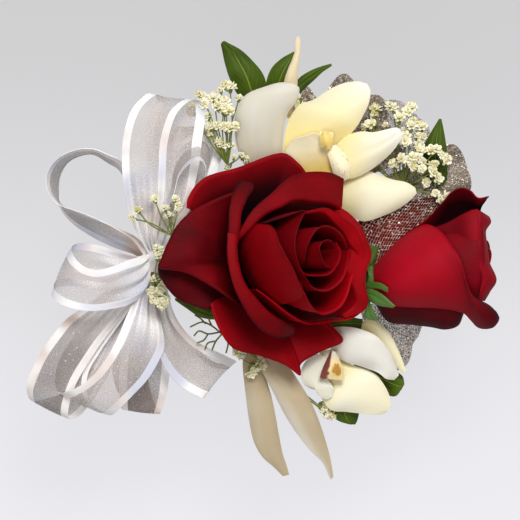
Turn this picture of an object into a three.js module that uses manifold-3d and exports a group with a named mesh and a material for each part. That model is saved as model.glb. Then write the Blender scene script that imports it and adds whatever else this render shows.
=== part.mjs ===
// A wrist corsage: an open rose, a half-open rose, two orchids, leaves, filler blossom, glitter net and a
// ribbon bow, wired and taped to one stem bundle that a keeper plate clamps to an elastic wristlet.
// Millimetres. +Z points away from the back of the wrist and +X runs along the arm, from the bow to the
// half-open rose. The origin is the middle of the keeper plate's underside, which lies on the wrist.

import * as THREE from "three";
import { mergeVertices } from "three/addons/utils/BufferGeometryUtils.js";
import Module from "manifold-3d";

// Driving dimensions: the wristlet
const CLEARANCE = 0.3; // between neighbouring pieces
const JOIN_TOLERANCE = 0.01; // edges shorter than this close up where pieces are joined or cut
const PLATE_LENGTH = 46; // across the wrist
const PLATE_WIDTH = 16;
const PLATE_CORNER = 3;
const SHEET_METAL = 0.8;
const END_BAR = 2.5; // bar that each end of the band is sewn round
const BAND_WIDTH = 12;
const BAND_THICKNESS = 1.2;
const SEWN_TAIL = 6; // doubled length of band below each end bar
const WEB_LENGTH = 18; // straight stretch on each side of the wrist
const PALM_DEPTH = 13; // drop of the round stretch under the wrist
const PRONG_WIDTH = 4;
const PRONG_SPACING = 12; // between the two pairs, along the stems
const PRONG_WRAP = THREE.MathUtils.degToRad(65);

// Driving dimensions: stems
const BUNDLE_RADIUS = 3.4;
const BUNDLE_BOW_REACH = 35;
const BUNDLE_ROSE_REACH = 29;
const FLOWER_STEM_RADIUS = 1.3;
const TWIG_RADIUS = 0.6;
const STALK_RADIUS = 0.8; // of a filler sprig, up to its fork
const TWIG_ARCH = 1; // rise of a filler twig between its fork and its blossom
const BLOSSOM_RADIUS = 1.9;

// Driving dimensions: sheets
const PETAL_THICKNESS = 0.6;
const LEAF_THICKNESS = 0.5;
const NET_THICKNESS = 0.4;
const RIBBON_WIDTH = 16;
const RIBBON_THICKNESS = 0.4;

// Driving dimensions: the roses
const HIP_RADIUS = 8;
const HIP_HEIGHT = 9;
const SIDE_HIP_RADIUS = 6;
const SIDE_HIP_HEIGHT = 7;
const HIP_FOOT_SHARE = 0.45;
const HIP_WAIST_SHARE = 0.75;
const SEPAL_COUNT = 5;
const SEPAL_HALF = 2.4;
const SEPAL_CUP = 9; // radius of the hollow across a sepal
const PETAL_LEAN = 0.1; // sets one edge of a petal over its neighbour
const HEART_RADIUS = 7.6;
const HEART_HEIGHT = 38;
const SIDE_HEART_RADIUS = 6.2;
const SIDE_HEART_HEIGHT = 33;
const HEART_TURNS = 2.5;
const HEART_EYE = 1.2; // radius of the open middle of a heart
const HEART_NECK_SHARE = 0.3; // width of a heart at its foot
const HEART_STEP = 3; // drop of the rim from the middle of a heart to its outside

// Driving dimensions: the orchids
const COLUMN_RADIUS = 1.7;
const LIP_HALF = 4.6;
const LIP_CUP = 6;

// Driving dimensions: the bow
const KNOT_RADIUS = 3.2;
const KNOT_HEIGHT = 9;
const KNOT_WAIST_SHARE = 0.8;
const KNOT_WIDTH_SHARE = 0.32; // width of the gathered ribbon at the knot
const LOOP_FULLNESS = 0.65; // brings the teardrop of a loop to its stated opening

// Places, from the middle of the stem bundle. A stem foot is where a flower's stem joins it, along X.
const BUNDLE_AXIS = SHEET_METAL + CLEARANCE + BUNDLE_RADIUS;
const MAIN_ROSE_AT = new THREE.Vector3(0, -1, 12.5);
const MAIN_ROSE_TILT = THREE.MathUtils.degToRad(31);
const MAIN_ROSE_BEARING = THREE.MathUtils.degToRad(8);
const MAIN_ROSE_STEM_FOOT = -8;
const SIDE_ROSE_AT = new THREE.Vector3(33, -4.5, 14.5);
const SIDE_ROSE_TILT = THREE.MathUtils.degToRad(80);
const SIDE_ROSE_BEARING = THREE.MathUtils.degToRad(5);
const SIDE_ROSE_STEM_FOOT = BUNDLE_ROSE_REACH - 6;
const UPPER_ORCHID_AT = new THREE.Vector3(16, 28, 8.5);
const UPPER_ORCHID_STEM_FOOT = 12;
const LOWER_ORCHID_AT = new THREE.Vector3(18.6, -31.3, 4.5);
const LOWER_ORCHID_STEM_FOOT = 14;
const KNOT_SETBACK = 4; // of the bow's knot from the end of the bundle
const KNOT_AT = new THREE.Vector3(
  KNOT_SETBACK - BUNDLE_BOW_REACH, -1, BUNDLE_RADIUS + CLEARANCE + KNOT_HEIGHT / 2,
);

// Main rose petals, outwards: bearing in degrees, half-width, and the profile as [radius, height] pairs.
// A wrap of 1 keeps the petal round the flower's axis, and a smaller one opens it flat.
const MAIN_ROSE_PETALS = [
  {
    name: "inner_left", bearing: 190, half: 15, wrap: 1,
    profile: [[3, 1], [8, 8], [12.5, 18], [13.5, 27], [13, 33], [14.5, 36]],
  },
  {
    name: "inner_upper", bearing: 80, half: 14, wrap: 1,
    profile: [[3, 1], [8, 8], [12.5, 17], [14, 26], [14, 32], [15.5, 34]],
  },
  {
    name: "inner_lower", bearing: 290, half: 15, wrap: 1,
    profile: [[3, 1], [9, 8], [13.5, 17], [15.5, 25], [15.5, 31], [17.5, 33.5]],
  },
  {
    name: "middle_right", bearing: 358, half: 16, wrap: 1,
    profile: [[5, 0.5], [12, 6], [18, 14], [20.5, 22], [21, 26], [23, 27.5]],
  },
  {
    name: "middle_upper", bearing: 75, half: 17, wrap: 0.9,
    profile: [[5, 0.5], [13, 6], [18, 14], [20, 21], [21.5, 25.5], [24, 27]],
  },
  {
    name: "middle_left", bearing: 146, half: 13, wrap: 0.9,
    profile: [[5, 0.5], [13, 5], [19.5, 12], [22, 18], [24, 21.5], [27, 20.5]],
  },
  {
    name: "middle_low_left", bearing: 208, half: 16, wrap: 0.9,
    profile: [[5, 0.5], [12, 5], [18, 11], [20.5, 17], [22.5, 20.5], [25.5, 19.5]],
  },
  {
    name: "middle_lower", bearing: 278, half: 17, wrap: 0.9,
    profile: [[5, 0.5], [12, 5], [18, 12], [20, 18.5], [21, 22], [23, 22.5]],
  },
  {
    name: "outer_upper", bearing: 98, half: 17, wrap: 0.35,
    profile: [[7, -0.5], [15, 1], [22, 3], [27, 4.5], [30, 4], [31, 1.5]],
  },
  {
    name: "outer_left", bearing: 175, half: 17, wrap: 0.3,
    profile: [[7, -0.5], [16, 3.5], [25, 6.5], [31, 5.5], [34.5, 2.5], [36, -1.5]],
  },
  {
    name: "outer_low_left", bearing: 200, half: 15, wrap: 0.3,
    profile: [[7, -0.5], [16, 0.5], [24, 1.5], [29, 0.5], [32.5, -2.5], [33.5, -5]],
  },
  {
    name: "outer_lower", bearing: 277, half: 20, wrap: 0.35,
    profile: [[7, -0.5], [15, 2], [22, 5], [27, 6], [30.5, 5], [32.5, 3]],
  },
];

// Half-open rose petals, outwards, in the same terms. Bearing 180 faces up and 90 faces +Y.
const SIDE_ROSE_PETALS = [
  {
    name: "inner", bearing: 140, half: 16, wrap: 1,
    profile: [[2.5, 1], [8, 8], [12, 18], [12.5, 26], [13.5, 32], [15.5, 34]],
  },
  {
    name: "front", bearing: 228, half: 22, wrap: 1,
    profile: [[4, 0.5], [11.5, 7], [15, 17], [15.5, 25], [18, 31], [22, 33.5]],
  },
  {
    name: "upper", bearing: 90, half: 19, wrap: 1,
    profile: [[4, 0.5], [12, 7], [16.5, 16], [18.5, 23], [20.5, 27], [23, 26.5]],
  },
  {
    name: "lower", bearing: 310, half: 21, wrap: 1,
    profile: [[5, 0], [13, 6], [17, 15], [17.5, 21], [18.5, 24.5], [20.5, 25.5]],
  },
];

// Orchid tepals: half-width, roll in degrees and the midline from the flower's middle to the tip.
const UPPER_ORCHID_TEPALS = [
  { name: "tall", half: 8.4, roll: 0, cup: 16, midline: [[1, 2, 1], [5.5, 12.5, 4], [13.8, 23, 4]] },
  { name: "right", half: 5.4, roll: 0, cup: 12, midline: [[3, 0, 1], [14.5, 3.2, 4], [24.3, 8.8, 4]] },
  {
    name: "low_right", half: 7, roll: 0, cup: 16,
    midline: [[3, -3, 0], [8, -8.5, 1.5], [17, -10, 3], [28.7, -8.3, 2]],
  },
  {
    name: "left", half: 7, roll: 0, cup: 12,
    midline: [[-4, -3, 0], [-13, -1, 3], [-17, 6, 5.5], [-15, 15, 6.5], [-6, 21.8, 5]],
  },
  {
    name: "narrow", half: 3.4, roll: 72, cup: 9,
    midline: [[-1, 2, -2], [-5.5, 12, -3], [-7.6, 23, -1], [-6.2, 30, 0], [-5.6, 36, 0]],
  },
];
const LOWER_ORCHID_TEPALS = [
  {
    name: "white", half: 4.8, roll: -10, cup: 10,
    midline: [[1, 2, 1], [3.5, 8, 3.5], [10.5, 6.3, 5.5], [16.5, 1.7, 5], [20.3, -3, 3.5]],
  },
  { name: "round", half: 7.2, roll: 0, cup: 14, midline: [[1.5, -1, 1], [8.5, -7, 2.5], [18, -12.4, 1.5]] },
  {
    name: "long_right", half: 4.6, roll: 0, cup: 9,
    midline: [
      [-1.5, 0, 0], [-8.5, 0.5, 1.5], [-12, -4, 2.5], [-9, -11, 2.5], [-4.7, -19, 1.5], [1.7, -32.5, -1],
    ],
  },
  {
    name: "long_left", half: 4.3, roll: 0, cup: 9,
    midline: [
      [-2, 2, -1], [-12, 5, -0.5], [-19, -1, 0], [-19.8, -10, 0], [-17.3, -20, -1], [-11.3, -31.6, -3],
    ],
  },
  {
    name: "behind", half: 4.2, roll: 0, cup: 12,
    midline: [[1, 3, -1], [6, 11, -0.5], [13, 12, 0], [19, 6.5, 0], [22.9, -1.5, -1]],
  },
];

// Ribbon loops: bearing, rise and roll in degrees, reach from the knot, opening, and start above the knot.
const BOW_LOOPS = [
  { name: "side", bearing: 143, rise: 2, roll: 82, reach: 39, gap: 19, lift: 1 },
  { name: "left", bearing: 187, rise: 14, roll: -14, reach: 31, gap: 10, lift: 3 },
  { name: "tall", bearing: 93, rise: 14, roll: 18, reach: 49, gap: 11, lift: 3 },
  { name: "lower", bearing: 251, rise: 8, roll: 8, reach: 47, gap: 10, lift: 2 },
  { name: "low_left", bearing: 234, rise: -3, roll: 26, reach: 52, gap: 11, lift: -1 },
  { name: "low_right", bearing: 298, rise: 2, roll: -16, reach: 43, gap: 10, lift: -1 },
  { name: "tall_right", bearing: 71, rise: -5, roll: -18, reach: 47, gap: 9, lift: -1 },
  { name: "small", bearing: 66, rise: 9, roll: 48, reach: 36, gap: 11, lift: 3 },
];

// Leaves: half-width, roll and the midline from the twig to the tip.
const UPPER_LEAVES = [
  { half: 5, roll: 0, midline: [[-1, 38, 3.5], [-3.5, 47.5, 5], [-6.8, 55, 6], [-11, 62.6, 5.5]] },
  { half: 4.6, roll: 0, midline: [[0.5, 41, 3.5], [3.5, 48, 4.5], [5.8, 54, 5], [9.6, 59.9, 4.5]] },
  { half: 3.2, roll: 45, midline: [[0.5, 39, 2.5], [8, 45, -1], [14, 51, -1], [20, 56, 0]] },
];
const UPPER_TWIG = [[2, 0, 0], [2, 12, 2], [0, 26, 2.5], [0.5, 43, 3.5]];
const RIGHT_LEAVES = [
  { half: 4, roll: 35, midline: [[46.5, 13, 3], [50, 19, 5], [50.8, 29, 6.5], [51.6, 40, 6.5]] },
];
const RIGHT_TWIG = [[26, 0, 0], [34, 3, 1], [42, 8.5, 2], [47.5, 14.5, 3.2]];
const LOWER_LEAVES = [
  { half: 4.4, roll: 0, midline: [[21.5, -32, 0.5], [22.5, -38, 1], [24.5, -43.5, 1.5], [27.2, -48, 1]] },
  { half: 4.2, roll: 0, midline: [[22.2, -26, -0.5], [29, -31, -2], [36, -35, -1], [41.5, -36.8, 0.5]] },
];
const LOWER_TWIG = [[22, 0, 0], [23, -10, 0.5], [22.5, -22, 0], [21.7, -34, 0.5]];

// Filler sprigs: the stem from the bundle, and where the blossoms sit.
const FILLER_SPRIGS = [
  {
    name: "upper",
    stem: [[-9, 0, 0], [-10, 9, 4], [-10.5, 18, 8], [-10, 27, 11.5]],
    blossoms: [
      [-19.4, 43, 14], [-16.6, 46.8, 15], [-12, 48.4, 14], [-10.4, 43, 15.5], [-14.5, 37.6, 14.5],
      [-10.2, 36, 16.5], [-15, 31.5, 13.5],
    ],
  },
  {
    name: "right",
    stem: [[26, 0, 0], [33, 8, 3], [37.5, 14, 4], [41, 20.5, 5]],
    blossoms: [
      [37.8, 43.6, 8], [43.2, 43.4, 10], [40, 38.6, 11], [45.6, 37.7, 9], [45.4, 30, 11],
      [41.8, 28.6, 12], [49.8, 27, 13],
    ],
  },
  {
    name: "left",
    stem: [[-19, 0, 0], [-20, 1.5, 9], [-22.5, 4, 17.5], [-26, 6.5, 22]],
    blossoms: [[-37.2, 11.4, 24.5], [-35, 14.5, 26], [-31, 16.6, 25], [-27.4, 13, 24], [-24.2, 15.5, 24.5]],
  },
  {
    name: "lower",
    stem: [[-12, 0, 0], [-14, -8, 3.5], [-13.5, -16, 5], [-11, -22, 5.5]],
    blossoms: [[-7, -27.9, 6], [-13.8, -24.4, 8], [-17, -20.5, 8], [-2.4, -31.4, 3.5]],
  },
];

// Net: half-width, roll, folds and the midline from the bundle outwards.
const NET_SHEETS = [
  {
    name: "upper", half: 12, roll: 0, folds: 5, depth: 1.4,
    midline: [[14, 4, 1], [20, 20, 1.5], [26, 36, 3], [31, 51.5, 5.5]],
  },
  {
    name: "right", half: 10, roll: 0, folds: 4, depth: 1.2,
    midline: [[26, 3.5, 3], [36, 9.5, 11], [46, 16.5, 7], [58, 27.5, 5.5]],
  },
  {
    name: "lower", half: 7.5, roll: 0, folds: 4, depth: 1.2,
    midline: [[27, -3.5, 1], [33, -12, 4], [39, -20, 5], [45, -28, 4]],
  },
];

// Colours
const RED = 0x8f0714;
const DEEP_RED = 0x6d0812;
const CREAM = 0xf6f0cf;
const LIP_YELLOW = 0xdcb44a;
const LEAF_GREEN = 0x4a5f22;
const STEM_GREEN = 0x58652f;
const IVORY = 0xf3efd6;
const RIBBON_WHITE = 0xf2ece9;
const NET_BRONZE = 0x8d7f6b;
const BAND_WHITE = 0xf0eeea;
const STEEL = 0xb9babd;

const wasm = await Module();
wasm.setup();

const corsage = new THREE.Group();
const spray = new THREE.Group();
spray.position.z = BUNDLE_AXIS;
corsage.add(spray);

// Solids

// A closed geometry as a solid in the part's frame.
function solidFrom(geometry, matrix) {
  const bare = new THREE.BufferGeometry();
  bare.setAttribute("position", geometry.getAttribute("position").clone());
  bare.setIndex(geometry.getIndex());
  bare.applyMatrix4(matrix);
  const merged = mergeVertices(bare, 1e-4);
  const index = merged.getIndex().array;
  const triangles = [];
  for (let i = 0; i < index.length; i += 3) {
    const [a, b, c] = [index[i], index[i + 1], index[i + 2]];
    if (a !== b && b !== c && c !== a) triangles.push(a, b, c);
  }
  return new wasm.Manifold(new wasm.Mesh({
    numProp: 3,
    vertProperties: new Float32Array(merged.getAttribute("position").array),
    triVerts: new Uint32Array(triangles),
    tolerance: JOIN_TOLERANCE,
  }));
}

function geometryFrom(solid, matrix) {
  const mesh = solid.getMesh();
  const geometry = new THREE.BufferGeometry();
  geometry.setAttribute("position", new THREE.BufferAttribute(new Float32Array(mesh.vertProperties), 3));
  geometry.setIndex(new THREE.BufferAttribute(new Uint32Array(mesh.triVerts), 1));
  geometry.applyMatrix4(matrix);
  geometry.computeVertexNormals();
  return geometry;
}

function joined(geometries, matrix) {
  return geometries.map((geometry) => solidFrom(geometry, matrix)).reduce((all, next) => all.add(next));
}

function boxesMeet(a, b) {
  return [0, 1, 2].every((axis) => a.min[axis] <= b.max[axis] && b.min[axis] <= a.max[axis]);
}

const placed = []; // the pieces made so far, each grown by the clearance

// Adds a piece made of shapes(grow), cut clear of every earlier piece.
function addPiece(parent, name, colour, finish, shapes) {
  parent.updateWorldMatrix(true, false);
  let solid = joined(shapes(0), parent.matrixWorld);
  const reach = solid.boundingBox();
  for (const earlier of placed) {
    if (boxesMeet(reach, earlier.boundingBox())) solid = solid.subtract(earlier);
  }
  const bodies = solid.decompose();
  const body = bodies.reduce((best, next) => (next.volume() > best.volume() ? next : best));
  placed.push(joined(shapes(CLEARANCE), parent.matrixWorld));
  const material = new THREE.MeshStandardMaterial({ color: colour, ...finish });
  const mesh = new THREE.Mesh(geometryFrom(body, parent.matrixWorld.clone().invert()), material);
  mesh.name = name;
  parent.add(mesh);
}

const MATT = { roughness: 0.7, metalness: 0 };
const SATIN = { roughness: 0.4, metalness: 0 };
const METAL = { roughness: 0.35, metalness: 1 };

// Shapes

// A closed thin sheet over pointAt(u, v), with u from 0 to 1 and v from -1 to 1.
function sheet(pointAt, rows, columns, thickness) {
  const positions = [];
  const across = columns + 1;
  const step = 1e-3;
  for (const face of [0.5, -0.5]) {
    for (let row = 0; row <= rows; row += 1) {
      for (let column = 0; column <= columns; column += 1) {
        const u = row / rows;
        const v = (2 * column) / columns - 1;
        const along = pointAt(u + step, v).sub(pointAt(u - step, v));
        const aside = pointAt(u, v + step).sub(pointAt(u, v - step));
        const normal = along.cross(aside).normalize();
        positions.push(...pointAt(u, v).addScaledVector(normal, face * thickness));
      }
    }
  }
  const under = (rows + 1) * across;
  const index = [];
  for (let row = 0; row < rows; row += 1) {
    for (let column = 0; column < columns; column += 1) {
      const a = row * across + column;
      const [b, c, d] = [a + across, a + across + 1, a + 1];
      index.push(a, b, c, a, c, d);
      index.push(under + a, under + c, under + b, under + a, under + d, under + c);
    }
  }
  const rim = [];
  for (let row = 0; row < rows; row += 1) rim.push(row * across);
  for (let column = 0; column < columns; column += 1) rim.push(rows * across + column);
  for (let row = rows; row > 0; row -= 1) rim.push(row * across + columns);
  for (let column = columns; column > 0; column -= 1) rim.push(column);
  rim.forEach((a, i) => {
    const b = rim[(i + 1) % rim.length];
    index.push(under + a, under + b, b, under + a, b, a);
  });
  const geometry = new THREE.BufferGeometry();
  geometry.setAttribute("position", new THREE.Float32BufferAttribute(positions, 3));
  geometry.setIndex(index);
  return geometry;
}

// Share of the full width at u: it swells from the base to the widest place and rounds off at the tip.
function widthShare(u, { base, widest, tip, round }) {
  const t = THREE.MathUtils.clamp(u, 0, 1);
  if (t < widest) return base + (1 - base) * Math.sin((Math.PI / 2) * (t / widest));
  return tip + (1 - tip) * Math.cos((Math.PI / 2) * ((t - widest) / (1 - widest))) ** round;
}

// A point on a curve, carried on straight past its ends.
function pointPast(curve, u) {
  const t = THREE.MathUtils.clamp(u, 0, 1);
  return curve.getPoint(t).addScaledVector(curve.getTangent(t), (u - t) * curve.getLength());
}

// A petal, tepal, leaf or net along a midline, rolled about it, cupped across towards its face or inward,
// leaning to one side and folded towards the tip.
function blade(row, grow, rows, columns) {
  const { midline, half, cup, shape, thickness } = row;
  const { roll = 0, lean = 0, folds = 0, depth = 0, inward = null } = row;
  const curve = new THREE.CatmullRomCurve3(midline, false, "centripetal");
  const reach = midline.at(-1).clone().sub(midline[0]);
  const level = new THREE.Vector3(-reach.y, reach.x, 0).normalize();
  const aside = level.applyAxisAngle(reach.normalize(), THREE.MathUtils.degToRad(roll));
  const stretch = grow / curve.getLength();
  const pointAt = (share, v) => {
    const u = -stretch + share * (1 + 2 * stretch);
    const along = curve.getTangent(THREE.MathUtils.clamp(u, 0, 1));
    const side = aside.clone().addScaledVector(along, -aside.dot(along)).normalize();
    const face = along.clone().cross(side);
    const width = half * widthShare(u, shape) + grow;
    const radius = typeof cup === "function" ? cup(THREE.MathUtils.clamp(u, 0, 1)) : cup;
    const turn = (v * width) / radius;
    const fold = depth * THREE.MathUtils.clamp(u, 0, 1) * Math.cos(folds * Math.PI * v);
    const point = pointPast(curve, u).addScaledVector(side, radius * Math.sin(turn));
    point.addScaledVector(inward ?? face, radius * (1 - Math.cos(turn)));
    return point.addScaledVector(face, lean * v * width + fold);
  };
  return sheet(pointAt, rows, columns, thickness + 2 * grow);
}

const vectors = (points) => points.map((point) => new THREE.Vector3(...point));

// A round stem through points, lengthened by grow at both ends.
function stem(points, radius, grow, sides = 6, steps = 8) {
  const path = vectors(points);
  const first = path[0].clone().sub(path[1]).setLength(grow).add(path[0]);
  const last = path.at(-1).clone().sub(path.at(-2)).setLength(grow).add(path.at(-1));
  const ends = grow > 0 ? [first, ...path, last] : path;
  const outline = [];
  for (let i = 0; i < sides; i += 1) {
    const angle = (2 * Math.PI * i) / sides;
    outline.push(new THREE.Vector2(Math.cos(angle), Math.sin(angle)).multiplyScalar(radius + grow));
  }
  const extrudePath = new THREE.CatmullRomCurve3(ends, false, "centripetal");
  return new THREE.ExtrudeGeometry(new THREE.Shape(outline), { steps, extrudePath, bevelEnabled: false });
}

// A turned solid about +Z from [radius, height] pairs that start and end on the axis.
function turned(profile, grow, segments = 12) {
  const middle = (profile[0][1] + profile.at(-1)[1]) / 2;
  const points = profile.map(([radius, height]) => {
    const grownRadius = radius > 0 ? radius + grow : 0;
    return new THREE.Vector2(grownRadius, height + Math.sign(height - middle) * grow);
  });
  return new THREE.LatheGeometry(points, segments).rotateX(Math.PI / 2);
}

// An outline in the plane across the arm, extruded along X about the middle.
function acrossArm(shape, width) {
  const geometry = new THREE.ExtrudeGeometry(shape, { depth: width, bevelEnabled: false, curveSegments: 6 });
  geometry.translate(0, 0, -width / 2);
  const turn = new THREE.Matrix4().set(0, 0, 1, 0, 1, 0, 0, 0, 0, 1, 0, 0, 0, 0, 0, 1);
  return geometry.applyMatrix4(turn);
}

// Wristlet

const barInside = PLATE_LENGTH / 2 - END_BAR;
const slotWidth = BAND_THICKNESS + 2 * CLEARANCE;
const bandInside = PLATE_LENGTH / 2 + CLEARANCE;
const bandOutside = bandInside + BAND_THICKNESS;
const tailBottom = -CLEARANCE - BAND_THICKNESS - SEWN_TAIL;
const webTop = tailBottom - CLEARANCE;
const webBottom = webTop - WEB_LENGTH;
const palmTop = webBottom - CLEARANCE;

function roundedPlate() {
  const [x, y] = [PLATE_WIDTH / 2, PLATE_LENGTH / 2];
  const plate = new THREE.Shape();
  plate.absarc(x - PLATE_CORNER, y - PLATE_CORNER, PLATE_CORNER, 0, Math.PI / 2);
  plate.absarc(PLATE_CORNER - x, y - PLATE_CORNER, PLATE_CORNER, Math.PI / 2, Math.PI);
  plate.absarc(PLATE_CORNER - x, PLATE_CORNER - y, PLATE_CORNER, Math.PI, 1.5 * Math.PI);
  plate.absarc(x - PLATE_CORNER, PLATE_CORNER - y, PLATE_CORNER, 1.5 * Math.PI, 2 * Math.PI);
  const slotReach = BAND_WIDTH / 2 + CLEARANCE;
  for (const end of [-1, 1]) {
    const slot = new THREE.Path();
    slot.moveTo(-slotReach, end * barInside);
    slot.lineTo(slotReach, end * barInside);
    slot.lineTo(slotReach, end * (barInside - slotWidth));
    slot.lineTo(-slotReach, end * (barInside - slotWidth));
    slot.closePath();
    plate.holes.push(slot);
  }
  return new THREE.ExtrudeGeometry(plate, { depth: SHEET_METAL, bevelEnabled: false, curveSegments: 4 });
}

// One prong: a strap that stands on the plate and folds over the stem bundle.
function prong(end, along, grow) {
  const inside = BUNDLE_RADIUS + CLEARANCE;
  const outside = inside + SHEET_METAL + grow;
  const wrap = PRONG_WRAP + grow / inside;
  const root = SHEET_METAL / 2;
  const strap = new THREE.Shape();
  strap.moveTo(inside, root);
  strap.lineTo(outside, root);
  strap.absarc(0, BUNDLE_AXIS, outside, 0, wrap);
  strap.absarc(0, BUNDLE_AXIS, inside, wrap, 0, true);
  strap.closePath();
  const geometry = acrossArm(strap, PRONG_WIDTH + 2 * grow);
  if (end < 0) geometry.rotateZ(Math.PI);
  return geometry.translate(along, 0, 0);
}

function keeperPlate(grow) {
  const pairs = [-PRONG_SPACING / 2, PRONG_SPACING / 2];
  return [roundedPlate(), ...[-1, 1].flatMap((end) => pairs.map((along) => prong(end, along, grow)))];
}

// One end of the band, folded round the end bar and sewn to itself below the plate.
function sewnEnd(end) {
  const slotFace = barInside - CLEARANCE - BAND_THICKNESS;
  const top = SHEET_METAL + CLEARANCE + BAND_THICKNESS;
  const under = -CLEARANCE - BAND_THICKNESS;
  const tailInside = bandInside - BAND_THICKNESS;
  const outline = new THREE.Shape();
  outline.moveTo(bandOutside, tailBottom);
  outline.lineTo(bandOutside, top - BAND_THICKNESS);
  outline.absarc(bandInside, top - BAND_THICKNESS, BAND_THICKNESS, 0, Math.PI / 2);
  outline.absarc(slotFace + BAND_THICKNESS, top - BAND_THICKNESS, BAND_THICKNESS, Math.PI / 2, Math.PI);
  outline.absarc(slotFace + BAND_THICKNESS, under + BAND_THICKNESS, BAND_THICKNESS, Math.PI, 1.5 * Math.PI);
  outline.lineTo(tailInside, under);
  outline.lineTo(tailInside, tailBottom + BAND_THICKNESS);
  outline.lineTo(bandInside, tailBottom);
  outline.closePath();
  const eye = new THREE.Path();
  eye.moveTo(barInside - CLEARANCE, -CLEARANCE);
  eye.lineTo(barInside - CLEARANCE, SHEET_METAL + CLEARANCE);
  eye.lineTo(bandInside, SHEET_METAL + CLEARANCE);
  eye.lineTo(bandInside, -CLEARANCE);
  eye.closePath();
  outline.holes.push(eye);
  const geometry = acrossArm(outline, BAND_WIDTH);
  return end < 0 ? geometry.rotateZ(Math.PI) : geometry;
}

function bandWeb(end) {
  const geometry = new THREE.BoxGeometry(BAND_WIDTH, BAND_THICKNESS, WEB_LENGTH);
  return geometry.translate(0, (end * (bandInside + bandOutside)) / 2, (webTop + webBottom) / 2);
}

function bandPalm() {
  const outline = new THREE.Shape();
  outline.moveTo(-bandOutside, palmTop);
  outline.absellipse(0, palmTop, bandOutside, PALM_DEPTH, Math.PI, 2 * Math.PI);
  outline.lineTo(bandInside, palmTop);
  outline.absellipse(0, palmTop, bandInside, PALM_DEPTH - BAND_THICKNESS, 0, Math.PI, true);
  outline.closePath();
  return acrossArm(outline, BAND_WIDTH);
}

// The band's pieces have their clearances in their own sizes, so their grown forms are the pieces.
addPiece(corsage, "keeper_plate", STEEL, METAL, keeperPlate);
addPiece(corsage, "band_front_end", BAND_WHITE, MATT, () => [sewnEnd(-1)]);
addPiece(corsage, "band_back_end", BAND_WHITE, MATT, () => [sewnEnd(1)]);
addPiece(corsage, "band_front_web", BAND_WHITE, MATT, () => [bandWeb(-1)]);
addPiece(corsage, "band_back_web", BAND_WHITE, MATT, () => [bandWeb(1)]);
addPiece(corsage, "band_palm", BAND_WHITE, MATT, () => [bandPalm()]);

// Stem bundle, taped from end to end

function stemBundle(grow) {
  const round = BUNDLE_RADIUS / 2;
  const profile = [
    [0, -BUNDLE_BOW_REACH],
    [round, -BUNDLE_BOW_REACH],
    [BUNDLE_RADIUS, round - BUNDLE_BOW_REACH],
    [BUNDLE_RADIUS, BUNDLE_ROSE_REACH - round],
    [round, BUNDLE_ROSE_REACH],
    [0, BUNDLE_ROSE_REACH],
  ];
  return turned(profile, grow, 14).rotateY(Math.PI / 2);
}
addPiece(spray, "stem_bundle", STEM_GREEN, MATT, (grow) => [stemBundle(grow)]);

// Roses

const PETAL_SHAPE = { base: 0.3, widest: 0.62, tip: 0.3, round: 0.5 };
const SEPAL_SHAPE = { base: 0.8, widest: 0.3, tip: 0.12, round: 1 };

function flowerGroup(at, tilt, bearing) {
  const group = new THREE.Group();
  group.position.copy(at);
  group.rotation.set(0, tilt, bearing, "ZYX");
  spray.add(group);
  return group;
}

// Points of a [radius, height] profile at a bearing round a flower's axis.
function aroundAxis(profile, bearing) {
  const angle = THREE.MathUtils.degToRad(bearing);
  return profile.map(([radius, height]) => {
    return new THREE.Vector3(radius * Math.cos(angle), radius * Math.sin(angle), height);
  });
}

function rosePetal({ bearing, half, wrap, profile }, grow) {
  const radii = new THREE.CatmullRomCurve3(aroundAxis(profile, 0), false, "centripetal");
  const row = {
    midline: aroundAxis(profile, bearing),
    half,
    cup: (u) => radii.getPoint(u).x / wrap,
    shape: PETAL_SHAPE,
    thickness: PETAL_THICKNESS,
    lean: PETAL_LEAN,
    inward: aroundAxis([[-1, 0]], bearing)[0],
  };
  return blade(row, grow, 6, 6);
}

// The rolled inner petals of a rose, as one spiral sheet that opens towards the top.
function roseHeart(radius, height, grow) {
  const length = Math.PI * HEART_TURNS * (HEART_EYE + radius);
  const pointAt = (u, v) => {
    const opened = Math.sin(Math.PI * THREE.MathUtils.clamp(0.06 + 0.6 * u, 0, 0.5));
    const swell = THREE.MathUtils.lerp(HEART_NECK_SHARE, 1, opened);
    const round = (v * (1 + (2 * grow) / length) + 1) / 2;
    const angle = 2 * Math.PI * HEART_TURNS * round;
    const out = (HEART_EYE + (radius - HEART_EYE) * round) * swell;
    const rise = CLEARANCE - grow + u * (height + 2 * grow - HEART_STEP * round);
    return new THREE.Vector3(out * Math.cos(angle), out * Math.sin(angle), rise);
  };
  return sheet(pointAt, 3, Math.round(9 * HEART_TURNS), PETAL_THICKNESS + 2 * grow);
}

// The hip with its five sepals and the stem down to the bundle.
function roseCalyx(radius, height, stemPoints, sepalProfile, grow) {
  const foot = [radius * HIP_FOOT_SHARE, -height];
  const waist = [radius * HIP_WAIST_SHARE, -height / 2];
  const hip = turned([[0, -height], foot, waist, [radius, 0], [0, 0]], grow);
  const leafy = { half: SEPAL_HALF, cup: SEPAL_CUP, shape: SEPAL_SHAPE, thickness: LEAF_THICKNESS };
  const sepals = [];
  for (let i = 0; i < SEPAL_COUNT; i += 1) {
    const midline = aroundAxis(sepalProfile, ((i + 0.5) * 360) / SEPAL_COUNT);
    sepals.push(blade({ ...leafy, midline }, grow, 3, 2));
  }
  return [hip, ...sepals, stem(stemPoints, FLOWER_STEM_RADIUS, grow)];
}

// Where the middle of the bundle at x lies in a flower's own frame.
function bundleSeenFrom(group, x) {
  spray.updateWorldMatrix(true, true);
  return group.worldToLocal(spray.localToWorld(new THREE.Vector3(x, 0, 0))).toArray();
}

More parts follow.
